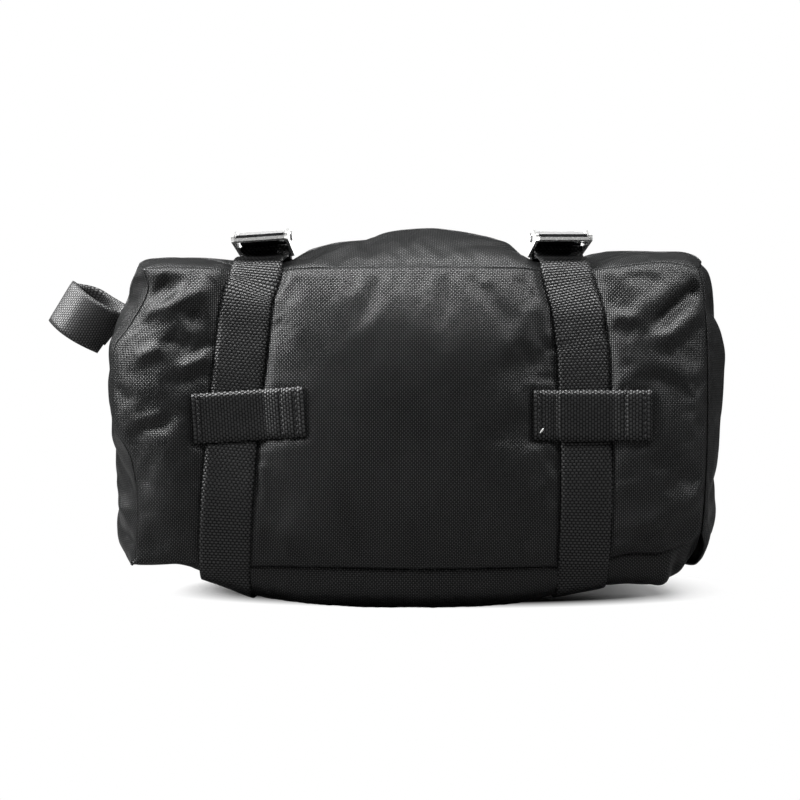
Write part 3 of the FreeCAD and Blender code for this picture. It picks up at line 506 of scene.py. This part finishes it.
    patches["shell_bottom"] = (bottom, np.stack([x, arc(bottom, 0)], -1), "bottom_panel", -1)
    return patches


WEB_T = 1.5
STRAP_RUN = {"left": [(-79.2, 184), (-81, 170), (-84.3, 160), (-86.2, 140), (-88.4, 117), (-93.4, 60), (-95.5, 20)],
             "right": [(74.7, 184), (76.4, 170), (79.6, 156), (81.4, 140), (82.4, 128), (83.8, 72), (83, 20)]}


def strap_x(side, z):
    """Middle of a strap across the bag at a height on the rack side."""
    table = sorted((height, x) for x, height in STRAP_RUN[side])
    return curve_value(z, table)


def strap_zone(name, grid, reach):
    """1 where a panel lies under a strap, fading out past the strap's edges."""
    x, z = grid[..., 0], grid[..., 2]
    if name == "shell_back":
        middles = [strap_x("left", z), strap_x("right", z)]
    elif name == "shell_top_rear":
        middles = [-79, 75]
    elif name == "shell_bottom":
        middles = [-95.5, 83]
    else:
        return np.zeros(x.shape)
    return np.clip(sum(np.exp(-((x - m) / reach) ** 8) for m in middles), 0, 1)


def grid_faces(rows, columns):
    n = np.arange(rows * columns).reshape(rows, columns)
    return np.stack([n[:-1, :-1], n[:-1, 1:], n[1:, 1:], n[1:, :-1]], -1).reshape(-1, 4)


def outward_faces(grid):
    """Faces of a grid, turned so that they look away from the middle of the bag."""
    points, faces = grid.reshape(-1, 3), grid_faces(*grid.shape[:2])
    a, b, c = (points[faces[:, k]] for k in range(3))
    middle = points[faces].mean(1) - np.array([0, 0, 100])
    return faces if (np.cross(b - a, c - a) * middle).sum() > 0 else faces[:, ::-1]


def finer(grid):
    """A grid with one point put between every two."""
    rows = np.zeros((2 * grid.shape[0] - 1, *grid.shape[1:]))
    rows[::2], rows[1::2] = grid, (grid[1:] + grid[:-1]) / 2
    out = np.zeros((rows.shape[0], 2 * rows.shape[1] - 1, grid.shape[2]))
    out[:, ::2], out[:, 1::2] = rows, (rows[:, 1:] + rows[:, :-1]) / 2
    return out


def settle(patches):
    """One cloth run over the whole sewn shell: seams and strapped zones hold, the cloth between them slackens."""
    points, faces, pins, slots, count = [], [], [], {}, 0
    for name, (grid, *_) in patches.items():
        coarse = grid[::2, ::2]
        hold = np.exp(-rim_distance(coarse) / 2.5)
        hold = np.maximum(hold, strap_zone(name, coarse, 15))
        if name == "shell_top_rear":
            hold = np.maximum(hold, smooth_step(coarse[..., 1], 12, 26))
        if name == "shell_top_front":
            hold = np.ones(coarse.shape[:2])
        if name == "shell_bottom":
            hold = np.maximum(hold, 0.75)
        slots[name] = (count, coarse.shape)
        points.append(coarse.reshape(-1, 3))
        faces.append(outward_faces(coarse) + count)
        pins.append(hold.reshape(-1))
        count += coarse.shape[0] * coarse.shape[1]
    points, pins, faces = np.vstack(points), np.concatenate(pins), np.vstack(faces)
    _, first, same = np.unique(np.round(points, 2), axis=0, return_index=True, return_inverse=True)
    same = same.reshape(-1)
    obj = new_mesh("settling_shell", points[first], same[faces])
    group = obj.vertex_groups.new(name="hold")
    for i, source in enumerate(first):
        group.add([i], float(np.clip(pins[source], 0, 1)), "REPLACE")
    cloth = obj.modifiers.new("cloth", "CLOTH")
    s = cloth.settings
    s.quality, s.mass = 5, 0.2
    s.tension_stiffness = s.compression_stiffness = 15
    s.shear_stiffness, s.bending_stiffness = 5, CLOTH_BEND
    s.tension_damping = s.compression_damping = s.shear_damping = 5
    s.use_pressure, s.uniform_pressure_force = True, CLOTH_PRESSURE
    s.vertex_group_mass = "hold"
    s.shrink_min = s.shrink_max = -CLOTH_GROWTH
    s.effector_weights.gravity = 0
    cloth.collision_settings.use_collision = False
    scene.frame_start, scene.frame_end = 1, 20
    for f in range(1, 21):
        scene.frame_set(f)
    graph = bpy.context.evaluated_depsgraph_get()
    after = np.array([v.co for v in obj.evaluated_get(graph).data.vertices]) / MM
    move = after - points[first]
    length = np.linalg.norm(move, axis=1)
    move *= (CLOTH_CAP * np.tanh(length / CLOTH_CAP) / np.maximum(length, 1e-6))[:, None]
    print("cloth moved", round(float(length.mean()), 2), round(float(length.max()), 2))
    move = move[same]
    settled = {}
    for name, (grid, *rest) in patches.items():
        start, shape = slots[name]
        part = move[start:start + shape[0] * shape[1]].reshape(shape)
        settled[name] = (grid + finer(part), *rest)
    bpy.data.objects.remove(obj)
    scene.frame_set(1)
    return settled


CLOTH_BEND, CLOTH_PRESSURE, CLOTH_GROWTH, CLOTH_CAP = 0.4, 0.9, 0.010, 2.4
patches = build_patches()
patches = settle(patches)


def tree_of(names):
    verts, faces, base = [], [], 0
    for name in names:
        grid = patches[name][0]
        verts += [Vector(p) for p in grid.reshape(-1, 3)]
        faces += (outward_faces(grid) + base).tolist()
        base = len(verts)
    return BVHTree.FromPolygons(verts, faces)


def smoothed(values, width):
    kernel = np.hanning(2 * width + 3)[1:-1]
    return np.convolve(np.pad(values, width, mode="edge"), kernel / kernel.sum(), mode="valid")


# each strap settles into the rack side, and the cloth under it is pressed flat behind it
back_tree = tree_of(["shell_back"])


def rack_side_y(x, z):
    hit = back_tree.ray_cast(Vector((x, -200, z)), Vector((0, 1, 0)))[0]
    return hit.y if hit else -62.0


HEIGHTS = np.linspace(27, 173, 74)
strap_y = {}
for side in ("left", "right"):
    raw = []
    for z in HEIGHTS:
        around = [rack_side_y(float(strap_x(side, z)) + dx, z) for dx in (-11, -7, -3, 0, 3, 7, 11)]
        raw.append(0.6 * np.mean(around) + 0.4 * min(around))
    strap_y[side] = smoothed(np.array(raw), 5) - 0.2 + 3.0 * smooth_step(HEIGHTS, 150, 178) ** 1.2


OVER = [(175.2, 1.2), (178.2, 3.0), (180.4, 6.0)]               # how the strap turns over the top edge


def strap_back_face(side, z):
    edge = strap_y[side][-1]
    return np.interp(z, [*HEIGHTS, *(h for h, _ in OVER)], [*strap_y[side], *(edge + d for _, d in OVER)])


KEEPERS = {"left": dict(ends=(-109.6, -54.8), lifted=(-106.0, -70.6), z=102.5, tilt=3.8, sewn=(-106.6, -66.0, -58.6)),
           "right": dict(ends=(57.4, 114.6), lifted=(67.5, 98.6), z=102.5, tilt=0.0, sewn=(60.2, 102.2, 111.4))}
for side, k in KEEPERS.items():
    middle = sum(k["ends"]) / 2
    slope = math.tan(math.radians(k["tilt"]))
    xs = np.linspace(*k["ends"], 91)
    zs = k["z"] + (xs - middle) * slope
    flat = np.array([np.mean([rack_side_y(x, z + dz) for dz in (-9, -3, 3, 9)]) for x, z in zip(xs, zs)])
    flat = smoothed(flat, 10) - 0.25
    over = strap_back_face(side, k["z"]) - WEB_T - 0.35
    lift = smooth_step(xs, k["lifted"][0], k["lifted"][0] + 4) * (1 - smooth_step(xs, k["lifted"][1] - 5, k["lifted"][1]))
    groove = 0.55 * sum(np.exp(-((xs - x) / 1.0) ** 2) for x in k["sewn"])
    k["line"] = (xs, np.minimum(flat, over) * lift + flat * (1 - lift) + groove, zs, slope, middle)


def press(grid):
    """Rack side pressed in behind the straps and the sewn ends of the keepers."""
    x, y, z = grid[..., 0], grid[..., 1], grid[..., 2]
    for side in ("left", "right"):
        beside = np.abs(x - strap_x(side, z))
        limit = strap_back_face(side, z) + 0.15 - 0.9 * np.clip(beside - 13.2, 0, None) ** 1.15
        inside = (z > 24) & (z < 180) & (y < -45)
        y = np.where(inside & (beside < 22), np.maximum(y, limit), y)
        k = KEEPERS[side]
        xs, ys, zs, slope, middle = k["line"]
        off = np.abs(z - (k["z"] + (x - middle) * slope))
        past = np.clip(np.abs(x - middle) - (xs[-1] - xs[0]) / 2 - 0.3, 0, None)
        limit = np.interp(x, xs, ys) + 0.15 - 0.3 * np.clip(off - 13, 0, None) ** 1.15 - 0.3 * past ** 1.15
        y = np.where((off < 34) & (past < 16), np.maximum(y, limit), y)
        sewn = (np.exp(-(np.clip(off - 10, 0, None) / 5) ** 2) * np.exp(-(past / 5) ** 2)
                * smooth_step(np.abs(x - strap_x(side, z)), 12, 16))
        y = y + (limit - y) * sewn
    grid[..., 1] = y


press(patches["shell_back"][0])
press(patches["shell_top_rear"][0])
TOP_X = {"left": -78.6, "right": 74.6}
buckle_pose = {}
for side, roll in (("left", -4.0), ("right", 0.0)):
    turn = Matrix.Rotation(math.radians(-5.7), 4, "X") @ Matrix.Rotation(math.radians(roll), 4, "Y")
    buckle_pose[side] = Matrix.Translation(Vector((TOP_X[side], -58, 190.3))) @ turn


def in_buckle(side, u, w, v=0.0):
    return np.array(buckle_pose[side] @ Vector((v, u, w)))


# the top under the buckles and their tabs is held down
top = patches["shell_top_rear"][0]
for side in ("left", "right"):
    beside = np.clip(np.abs(top[..., 0] - TOP_X[side]) - 14, 0, None)
    ceiling = np.interp(top[..., 1], [-61, -57, -50, -38, -24, -14, -6, 6, 20, 28],
                        [176.5, 178.9, 180.9, 182.1, 183.6, 184.0, 184.3, 186.3, 188.2, 189.4])
    top[..., 2] = np.where(beside < 16, np.minimum(top[..., 2], ceiling + 0.55 * beside ** 1.2), top[..., 2])

shell_objects = {}
for name, (grid, uv, node, sign) in patches.items():
    obj = new_mesh(name, grid.reshape(-1, 3), outward_faces(grid), uv.reshape(-1, 2))
    subdivide = obj.modifiers.new("smooth", "SUBSURF")
    subdivide.levels = subdivide.render_levels = 1
    subdivide.boundary_smooth = "PRESERVE_CORNERS"
    skin = obj.modifiers.new("skin", "SOLIDIFY")
    skin.thickness = 1.0 * MM
    skin.offset = -1
    apply_modifiers(obj)
    shell_objects[name] = obj
    obj.data.materials.append(SHELL)
    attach(obj, "bag")
    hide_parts(node)

top_tree = tree_of(["shell_top_rear"])


def top_z(x, y):
    hit = top_tree.ray_cast(Vector((x, y, 300)), Vector((0, 0, -1)))[0]
    return hit.z if hit else 180.0


bottom_tree = tree_of(["shell_bottom"])


def bottom_z(x, y):
    hit = bottom_tree.ray_cast(Vector((x, y, -50)), Vector((0, 0, 1)))[0]
    return hit.z if hit else 2.0


# ================================================================ inside: foam, lining
def inner_slab(name, grid, front, back):
    """Closed slab behind a panel, between two depths below its surface."""
    rows, columns = grid.shape[:2]
    a, b = grid.copy(), grid.copy()
    a[..., 1] = front
    b[..., 1] = front + back
    faces = [tuple(f) for f in grid_faces(rows, columns)]
    faces += [tuple(i + rows * columns for i in f[::-1]) for f in faces]
    n = np.arange(rows * columns).reshape(rows, columns)
    rim = np.concatenate([n[0, :-1], n[:-1, -1], n[-1, :0:-1], n[:0:-1, 0]])
    faces += [(rim[i], rim[i - 1], rim[i - 1] + rows * columns, rim[i] + rows * columns) for i in range(len(rim))]
    return new_mesh(name, np.vstack([a.reshape(-1, 3), b.reshape(-1, 3)]), faces)


back = patches["shell_back"][0]
deepest = np.max([back[5 + i:HIGH - 5 + i:4, 8 + j:LONG - 8 + j:4, 1] for i in range(-4, 5) for j in range(-4, 5)], axis=0)
foam = inner_slab("foam_sheet", back[5:HIGH - 5:4, 8:LONG - 8:4], deepest + 1.4, 8.0)
foam.data.materials.append(FOAM)
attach(foam, "bag")
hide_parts("back_foam")

board = bmesh.new()
bmesh.ops.create_cube(board, size=1.0, matrix=Matrix.Translation((-0.004, 0, 0.0111)) @ Matrix.Diagonal((0.132, 0.088, 0.002, 1)))
upright = [e for e in board.edges if abs(e.verts[0].co.z - e.verts[1].co.z) > 0.001]
bmesh.ops.bevel(board, geom=upright, offset=0.008, segments=6, affect="EDGES")
bmesh.ops.bevel(board, geom=[e for e in board.edges if e.calc_face_angle(0) > 1.2], offset=0.0005, segments=2, affect="EDGES")
board_mesh = bpy.data.meshes.new("stiff_board")
board.to_mesh(board_mesh)
board.free()
board = bpy.data.objects.new("stiff_board", board_mesh)
scene.collection.objects.link(board)
board.data.materials.append(BOARD)
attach(board, "bag")
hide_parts("base_board")

lining_points, lining_faces, lining_uv, count = [], [], [], 0
for name, (grid, uv, node, sign) in patches.items():
    if name == "shell_top_front":
        continue
    coarse = grid[::4, ::4].reshape(-1, 3)
    lining_points.append(np.array([0, 0, 96]) + (coarse - np.array([0, 0, 96])) * np.array([0.93, 0.84, 0.87]))
    lining_uv.append(uv[::4, ::4].reshape(-1, 2))
    lining_faces.append(outward_faces(grid[::4, ::4]) + count)
    count += len(coarse)
lining = new_mesh("lining_cloth", np.vstack(lining_points), np.vstack(lining_faces), np.vstack(lining_uv))
weld = lining.modifiers.new("weld", "WELD")
weld.merge_threshold = 0.2 * MM
skin = lining.modifiers.new("skin", "SOLIDIFY")
skin.thickness = 0.5 * MM
apply_modifiers(lining)
lining.data.materials.append(LINING)
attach(lining, "bag")
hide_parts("lining")

# ================================================================ webbing
def ribbon_mesh(name, centre, across, normal, width, thickness, across_points=11, end_caps=True, u0=0.0):
    """Closed strip of webbing along a line of centres, with given directions across it and off its face."""
    centre, across, normal = (np.asarray(a, float) for a in (centre, across, normal))
    n = len(centre)
    t = np.linspace(-1, 1, across_points)
    profile = []
    for s in t:                                      # upper face, slightly crowned, edges rounded
        profile.append((s * width / 2, thickness / 2 * (1 - 0.7 * abs(s) ** 8)))
    for s in t[::-1]:
        profile.append((s * width / 2, -thickness / 2 * (1 - 0.35 * abs(s) ** 8)))
    m = len(profile)
    points = np.zeros((n, m, 3))
    for k, (a, h) in enumerate(profile):
        points[:, k] = centre + across * a + normal * h
    along = np.concatenate([[0], np.cumsum(np.linalg.norm(np.diff(centre, axis=0), axis=1))]) + u0
    uv = np.zeros((n, m, 2))
    uv[..., 0] = along[:, None]
    uv[..., 1] = np.array([a for a, _ in profile])[None, :]
    faces = []
    for i in range(n - 1):
        for k in range(m):
            k2 = (k + 1) % m
            faces.append((i * m + k, i * m + k2, (i + 1) * m + k2, (i + 1) * m + k))
    if end_caps:
        faces.append(tuple(range(m))[::-1])
        faces.append(tuple((n - 1) * m + k for k in range(m)))
    obj = new_mesh(name, points.reshape(-1, 3), faces, uv.reshape(-1, 2))
    fix = bmesh.new()
    fix.from_mesh(obj.data)
    bmesh.ops.recalc_face_normals(fix, faces=fix.faces)
    fix.to_mesh(obj.data)
    fix.free()
    return obj


def frames_along(centre, up_hint):
    """Directions across and off a ribbon whose face looks towards up_hint."""
    centre = np.asarray(centre, float)
    tangent = np.gradient(centre, axis=0)
    tangent /= np.linalg.norm(tangent, axis=1)[:, None]
    up = np.asarray(up_hint, float)
    across = np.cross(tangent, up)
    across /= np.linalg.norm(across, axis=1)[:, None]
    normal = np.cross(across, tangent)
    return across, normal


def finish_piece(obj, material, slot, *nodes):
    obj.data.materials.append(material)
    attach(obj, "bag")
    if nodes:
        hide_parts(*nodes)
    return obj


def spread(path, flat_x=None):
    """Directions across and off a strap whose width stays level unless a lean is given for a point."""
    tangent = np.gradient(path, axis=0)
    tangent /= np.linalg.norm(tangent, axis=1)[:, None]
    across = np.array([1.0, 0, 0]) if flat_x is None else flat_x
    across = across - (across * tangent).sum(1)[:, None] * tangent
    across /= np.linalg.norm(across, axis=1)[:, None]
    return across, np.cross(tangent, across)


UNDER_Y = (45, 36, 26, 14, 2, -10, -22, -31, -39, -46, -52, -57, -60.5)
for side in ("left", "right"):
    x0 = float(strap_x(side, 24))
    below = [(x0, y, max(WEB_T / 2 + 0.02, np.mean([bottom_z(x0 + dx, y) for dx in (-10, 0, 10)]) - WEB_T / 2 - 0.25))
             for y in UNDER_Y]
    rise = np.mean([bottom_z(x0 + 10, y) - bottom_z(x0 - 10, y) for y in UNDER_Y[3:-2]]) / 20
    up = [(float(strap_x(side, z)), float(strap_back_face(side, z)) - WEB_T / 2, z) for z in np.linspace(29, 171, 60)]
    over = [(float(strap_x(side, h)), float(strap_back_face(side, h)) - WEB_T / 2, h + 0.3) for h, _ in OVER]
    climb = [in_buckle(side, u, w) for u, w in ((12, -6.3), (19.3, -4.6), (22.4, -1.6), (23, 0.4), (23.3, 2.1),
                                                (25, 2.5), (30, 2.5), (33.2, 4.2), (40, 4.45), (50, 4.1))]
    path = spline(np.vstack([below, up, over, climb]), 520)
    lean = np.array(buckle_pose[side].to_3x3() @ Vector((1, 0, 0)))
    share = (smooth_step(path[:, 2], 179, 185) * (path[:, 1] > -62))[:, None]
    under = (1 - smooth_step(path[:, 2], 10, 26))[:, None] * (path[:, 2:] < 30)
    level = np.array([1.0, 0, 0]) + under * np.array([0, 0, rise])
    across, normal = spread(path, level * (1 - share) + lean * share)
    strap = ribbon_mesh(f"strap_web_{side}", path, across, normal, 25, WEB_T)
    finish_piece(strap, WEBBING, "webbing", f"strap_{side}")

    # keeper: sewn flat at both ends, standing over the strap between them
    xs, ys, zs, slope, middle = KEEPERS[side]["line"]
    path = np.stack([xs, ys - WEB_T / 2, zs], 1)
    down = np.array([math.sin(math.radians(KEEPERS[side]["tilt"])), 0, -math.cos(math.radians(KEEPERS[side]["tilt"]))])
    tangent = np.gradient(path, axis=0)
    tangent /= np.linalg.norm(tangent, axis=1)[:, None]
    normal = np.cross(tangent, np.broadcast_to(down, tangent.shape))
    normal *= np.sign(-normal[:, 1:2])
    keeper = ribbon_mesh(f"keeper_web_{side}", path, np.broadcast_to(-down, tangent.shape), normal, 24.8, WEB_T)
    finish_piece(keeper, WEBBING, "webbing", f"keeper_{side}")


# ---------------------------------------------------------------- sewing thread
def stitch_mesh(name, runs, radius=0.28, length=2.3, gap=0.8):
    """Rows of single stitches; each run is (points, direction off the cloth)."""
    points, faces = [], []
    shape = [(-0.5, 0.25), (-0.42, 0.75), (-0.2, 1.0), (0.2, 1.0), (0.42, 0.75), (0.5, 0.25)]
    for path, off in runs:
        path, off = np.asarray(path, float), np.asarray(off, float)
        total = np.linalg.norm(np.diff(path, axis=0), axis=1).sum()
        count = max(1, int(round(total / (length + gap))))
        line = spline(path, count * 8 + 1)
        for k in range(count):
            a, b = line[k * 8 + 1], line[k * 8 + 7]
            along = b - a
            size = np.linalg.norm(along)
            t = along / size
            side = np.cross(t, off)
            side /= np.linalg.norm(side)
            up = np.cross(side, t)
            base = len(points)
            for s_, r in shape:
                centre = (a + b) / 2 + t * s_ * size + up * (0.12 * (1 - (2 * s_) ** 2))
                for j in range(6):
                    angle = j * math.pi / 3
                    points.append(centre + (side * math.cos(angle) + up * math.sin(angle)) * radius * r)
            for i in range(len(shape) - 1):
                for j in range(6):
                    j2 = (j + 1) % 6
                    faces.append((base + i * 6 + j, base + i * 6 + j2, base + (i + 1) * 6 + j2, base + (i + 1) * 6 + j))
            faces.append(tuple(base + j for j in range(6))[::-1])
            faces.append(tuple(base + (len(shape) - 1) * 6 + j for j in range(6)))
    return new_mesh(name, points, faces)


runs = []
for k in KEEPERS.values():
    xs, ys, zs, slope, middle = k["line"]
    for x in k["sewn"]:
        y = float(np.interp(x, xs, ys)) - WEB_T - 0.05
        z = k["z"] + (x - middle) * slope
        runs.append(([(x + 12.0 * slope, y, z - 12.0), (x, y, z), (x - 12.4 * slope, y, z + 12.4)], (0, -1, 0)))
finish_piece(stitch_mesh("keeper_thread", runs), THREAD, "thread", "keeper_stitching")

tails = []
for x, z, lean_x in ((-106.8, 114.6, -0.6), (-65.8, 116.4, 0.4), (60.2, 115.3, -0.8), (102.4, 115.2, 0.5)):
    y = rack_side_y(x, z + 1) - 0.9
    tails.append(([(x, y, z - 1.5), (x + lean_x * 0.5, y - 0.3, z + 0.6), (x + lean_x, y - 0.1, z + 2.6)], (0, -1, 0)))
finish_piece(stitch_mesh("keeper_thread_tails", tails, 0.17, 4.2, 0.1), THREAD, "thread")
y = float(np.interp(61.5, KEEPERS["right"]["line"][0], KEEPERS["right"]["line"][1])) - WEB_T - 0.35
fleck = stitch_mesh("loose_thread_end_right", [([(60.2, y, 93.2), (61.3, y - 0.3, 94.9), (62.5, y, 96.6)], (0, -1, 0))], 0.42, 4.0, 0.1)
finish_piece(fleck, FLECK, "thread")

# ---------------------------------------------------------------- grab loop on the left end
ROOT, LIFT = np.array([-162.0, -25.0, 145.4]), math.radians(34)
EXTEND, WIDE = np.array([-math.cos(LIFT), 0, math.sin(LIFT)]), np.array([math.sin(LIFT), 0, math.cos(LIFT)])
half = [(-1, 2.6), (5, 6.3), (12, 8.4), (19, 8.2), (25, 5.6), (29.4, 2.4), (30.8, 0)]
outline = half + [(u, -v) for u, v in half[-2::-1]]
drop = spline(outline, 121)
share = np.linspace(0, 1, 121)                       # 0 at the near strand's root, 1 at the far strand's root
back_shift = 5.2 * smooth_step(share, 0.53, 0.74)
centre = (ROOT + drop[:, :1] * EXTEND - drop[:, 1:] * np.array([0, 1, 0]) + back_shift[:, None] * WIDE
          + (-1.2 * np.sin(np.pi * np.clip(drop[:, :1] / 31, 0, 1))) * WIDE)
twist = np.radians(curve_value(share, [(0, -4), (0.25, 0), (0.5, 3), (0.75, -3), (1, -8)]))
tangent = np.gradient(centre, axis=0)
tangent /= np.linalg.norm(tangent, axis=1)[:, None]
across = WIDE[None] * np.cos(twist)[:, None] + EXTEND[None] * np.sin(twist)[:, None]
across = across - (across * tangent).sum(1)[:, None] * tangent
across /= np.linalg.norm(across, axis=1)[:, None]
loop = ribbon_mesh("loop_web", centre, across, np.cross(tangent, across), 24.6, 1.4)
finish_piece(loop, LOOP_WEB, "webbing", "end_loop")

# ---------------------------------------------------------------- tabs behind the buckles
tab_runs = []
for side in ("left", "right"):
    x = TOP_X[side]
    behind = [y for y in (-13, -6, 2, 10, 19)]
    low_layer = [(x, y, top_z(x, y) + 0.65) for y in behind[::-1]]
    ring = [in_buckle(side, u, w) for u, w in ((42.5, -0.5), (39.5, -0.95), (36.5, -1.0), (34.7, -0.4), (34.4, 0.75),
                                               (34.8, 1.9), (36.5, 2.45), (39.5, 2.3), (42.5, 1.5))]
    high_layer = [(x, y, top_z(x, y) + 1.85) for y in behind]
    path = spline(np.vstack([low_layer, ring, high_layer]), 150)
    lean = np.array(buckle_pose[side].to_3x3() @ Vector((1, 0, 0)))
    share = (1 - smooth_step(path[:, 1], -18, -8))[:, None]
    across, normal = spread(path, np.array([1.0, 0, 0]) * (1 - share) + lean * share)
    tab = ribbon_mesh(f"tab_web_{side}", path, across, normal, 24.6, 1.05)
    finish_piece(tab, WEBBING, "webbing", f"buckle_tab_{side}")
    for y in (-6, 4, 16):
        z = top_z(x, y) + 2.45
        tab_runs.append(([(x - 11, y, z), (x, y, z), (x + 11, y, z)], (0, 0, 1)))
    for dx in (-11, 11):
        tab_runs.append(([(x + dx, y, top_z(x, y) + 2.45) for y in (-6, 5, 16)], (0, 0, 1)))
finish_piece(stitch_mesh("tab_thread", tab_runs), THREAD, "thread", "tab_stitching")

# ---------------------------------------------------------------- zip
ZIP_MID = 35.0
rear = spline(SEAMS["zip_rear"], 200)
for label, sign, row in (("rear", -1, "zipper_tape_rear"), ("front", 1, "zipper_tape_front")):
    path = np.stack([rear[:, 0], np.full(200, ZIP_MID + sign * 5.1), rear[:, 2] - 2.3], 1)
    tape = ribbon_mesh(f"zip_tape_{label}", path, np.broadcast_to([0.0, 1, 0], path.shape),
                       np.broadcast_to([0.0, 0, 1], path.shape), 10.0, 0.5, 5)
    finish_piece(tape, TAPE, "zip_tape", row)
    turns, per_turn, sides = 168, 12, 6
    t = np.linspace(0, turns, turns * per_turn + 1)
    xs = -119.5 + 239.0 * t / turns
    angle = 2 * math.pi * t
    line = np.stack([xs, ZIP_MID + sign * (1.6 + 1.05 * np.cos(angle)), 188.45 + 0.68 * np.sin(angle)], 1)
    tangent = np.gradient(line, axis=0)
    tangent /= np.linalg.norm(tangent, axis=1)[:, None]
    side_dir = np.cross(tangent, [1.0, 0, 0])
    side_dir /= np.linalg.norm(side_dir, axis=1)[:, None]
    up_dir = np.cross(side_dir, tangent)
    ring = np.arange(sides) * 2 * math.pi / sides
    points = line[:, None] + 0.32 * (side_dir[:, None] * np.cos(ring)[None, :, None] + up_dir[:, None] * np.sin(ring)[None, :, None])
    n = np.arange(len(line) * sides).reshape(len(line), sides)
    m = np.roll(n, -1, axis=1)
    quads = np.stack([n[:-1], m[:-1], m[1:], n[1:]], -1).reshape(-1, 4)
    faces = [tuple(q) for q in quads] + [tuple(n[0][::-1]), tuple(n[-1])]
    finish_piece(new_mesh(f"zip_teeth_{label}", points.reshape(-1, 3), faces), COIL, "zip_coil", f"zipper_coil_{label}")

# ================================================================ camera, light, floor
world = bpy.data.worlds.new("studio")
scene.world = world
world.use_nodes = True
wt = world.node_tree
wt.nodes.clear()
out = wt.nodes.new("ShaderNodeOutputWorld")
pick = wt.nodes.new("ShaderNodeMixShader")
path_info = wt.nodes.new("ShaderNodeLightPath")
seen = wt.nodes.new("ShaderNodeBackground")
seen.inputs[0].default_value = (1, 1, 1, 1)
seen.inputs[1].default_value = 1.0
lit = wt.nodes.new("ShaderNodeBackground")
lit.inputs[0].default_value = (1, 1, 1, 1)
lit.inputs[1].default_value = 0.006
wt.links.new(path_info.outputs["Is Camera Ray"], pick.inputs[0])
wt.links.new(lit.outputs[0], pick.inputs[1])
wt.links.new(seen.outputs[0], pick.inputs[2])
wt.links.new(pick.outputs[0], out.inputs[0])


def area_light(name, place, target, size, power, shape=None):
    data = bpy.data.lights.new(name, "AREA")
    data.shape = "RECTANGLE"
    data.size, data.size_y = size
    data.energy = power
    obj = bpy.data.objects.new(name, data)
    obj.location = place
    direction = Vector(target) - Vector(place)
    obj.rotation_euler = direction.to_track_quat("-Z", "Y").to_euler()
    scene.collection.objects.link(obj)
    return obj


area_light("top_softbox", (0.0, 0.1, 0.95), (0, 0.0, 0.1), (1.4, 0.6), 3.6)
area_light("front_softbox", (-0.02, -0.35, 1.0), (0, -0.06, 0.16), (1.4, 0.18), 17.5)
area_light("left_strip", (-0.75, -0.2, 0.6), (-0.17, 0, 0.14), (0.25, 0.6), 12)
area_light("right_strip", (0.9, -0.3, 0.6), (0.13, -0.03, 0.1), (0.2, 0.5), 3.2)

area_light("back_fill", (0, 1.1, 0.4), (0, 0.05, 0.1), (1.2, 0.25), 3).visible_camera = False

floor_mesh = new_mesh("floor", [(-4000, -3000, 0), (4000, -3000, 0), (4000, 5000, 0), (-4000, 5000, 0)], [(0, 1, 2, 3)])
fn = Nodes("pale_floor")
place = fn.add("ShaderNodeSeparateXYZ")
fn.join(fn.position(), place.inputs[0])
far_x = fn.math("DIVIDE", fn.math("SUBTRACT", place.outputs["X"], 0.02), 0.19)
far_y = fn.math("DIVIDE", fn.math("SUBTRACT", place.outputs["Y"], 0.04), 0.075)
away = fn.math("SQRT", fn.math("ADD", fn.math("MULTIPLY", far_x, far_x), fn.math("MULTIPLY", far_y, far_y)))
glow = fn.add("ShaderNodeEmission")
seen_directly = fn.add("ShaderNodeLightPath").outputs["Is Camera Ray"]
share = fn.math("MULTIPLY", fn.ramp(away, 0.70, 0.92, 0.0, 1.0), seen_directly)
tone = fn.add("ShaderNodeMix", data_type="RGBA")
fn.join(seen_directly, tone.inputs[0])
tone.inputs[6].default_value, tone.inputs[7].default_value = (0.15, 0.15, 0.15, 1), (1.0, 1.0, 1.0, 1)
matte = fn.add("ShaderNodeBsdfDiffuse")
fn.join(tone.outputs[2], matte.inputs["Color"])
floor_mix = fn.add("ShaderNodeMixShader")
fn.join(share, floor_mix.inputs[0])
fn.join(matte.outputs[0], floor_mix.inputs[1])
fn.join(glow.outputs[0], floor_mix.inputs[2])
fn.join(floor_mix.outputs[0], fn.tree.nodes["Material Output"].inputs[0])
floor_mesh.data.materials.append(fn.material)

camera_data = bpy.data.cameras.new("camera")
camera_data.sensor_width = 36
camera_data.lens = 1111 / 800 * 36
camera = bpy.data.objects.new("camera", camera_data)
camera.location = (-0.008, -0.615, 0.110)
camera.rotation_euler = (math.radians(90), 0, 0)
scene.collection.objects.link(camera)
scene.camera = camera
scene.view_settings.view_transform = "Standard"

# ================================================================ CAD nodes that stay
MATERIAL_OF = {"buckle_frame": NICKEL, "cam_lever": LEVER, "lever_pin": STEEL, "lever_spring": STEEL,
               "zipper_slider": ZIP_METAL, "zipper_pull": ZIP_METAL, "zipper_end": ZIP_METAL,
               "zipper_coil": COIL, "zipper_tape": TAPE, "back_foam": FOAM, "base_board": BOARD,
               "lining": LINING}
for name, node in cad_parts.items():
    for key, material in MATERIAL_OF.items():
        if name.startswith(key):
            node.data.materials.clear()
            node.data.materials.append(material)
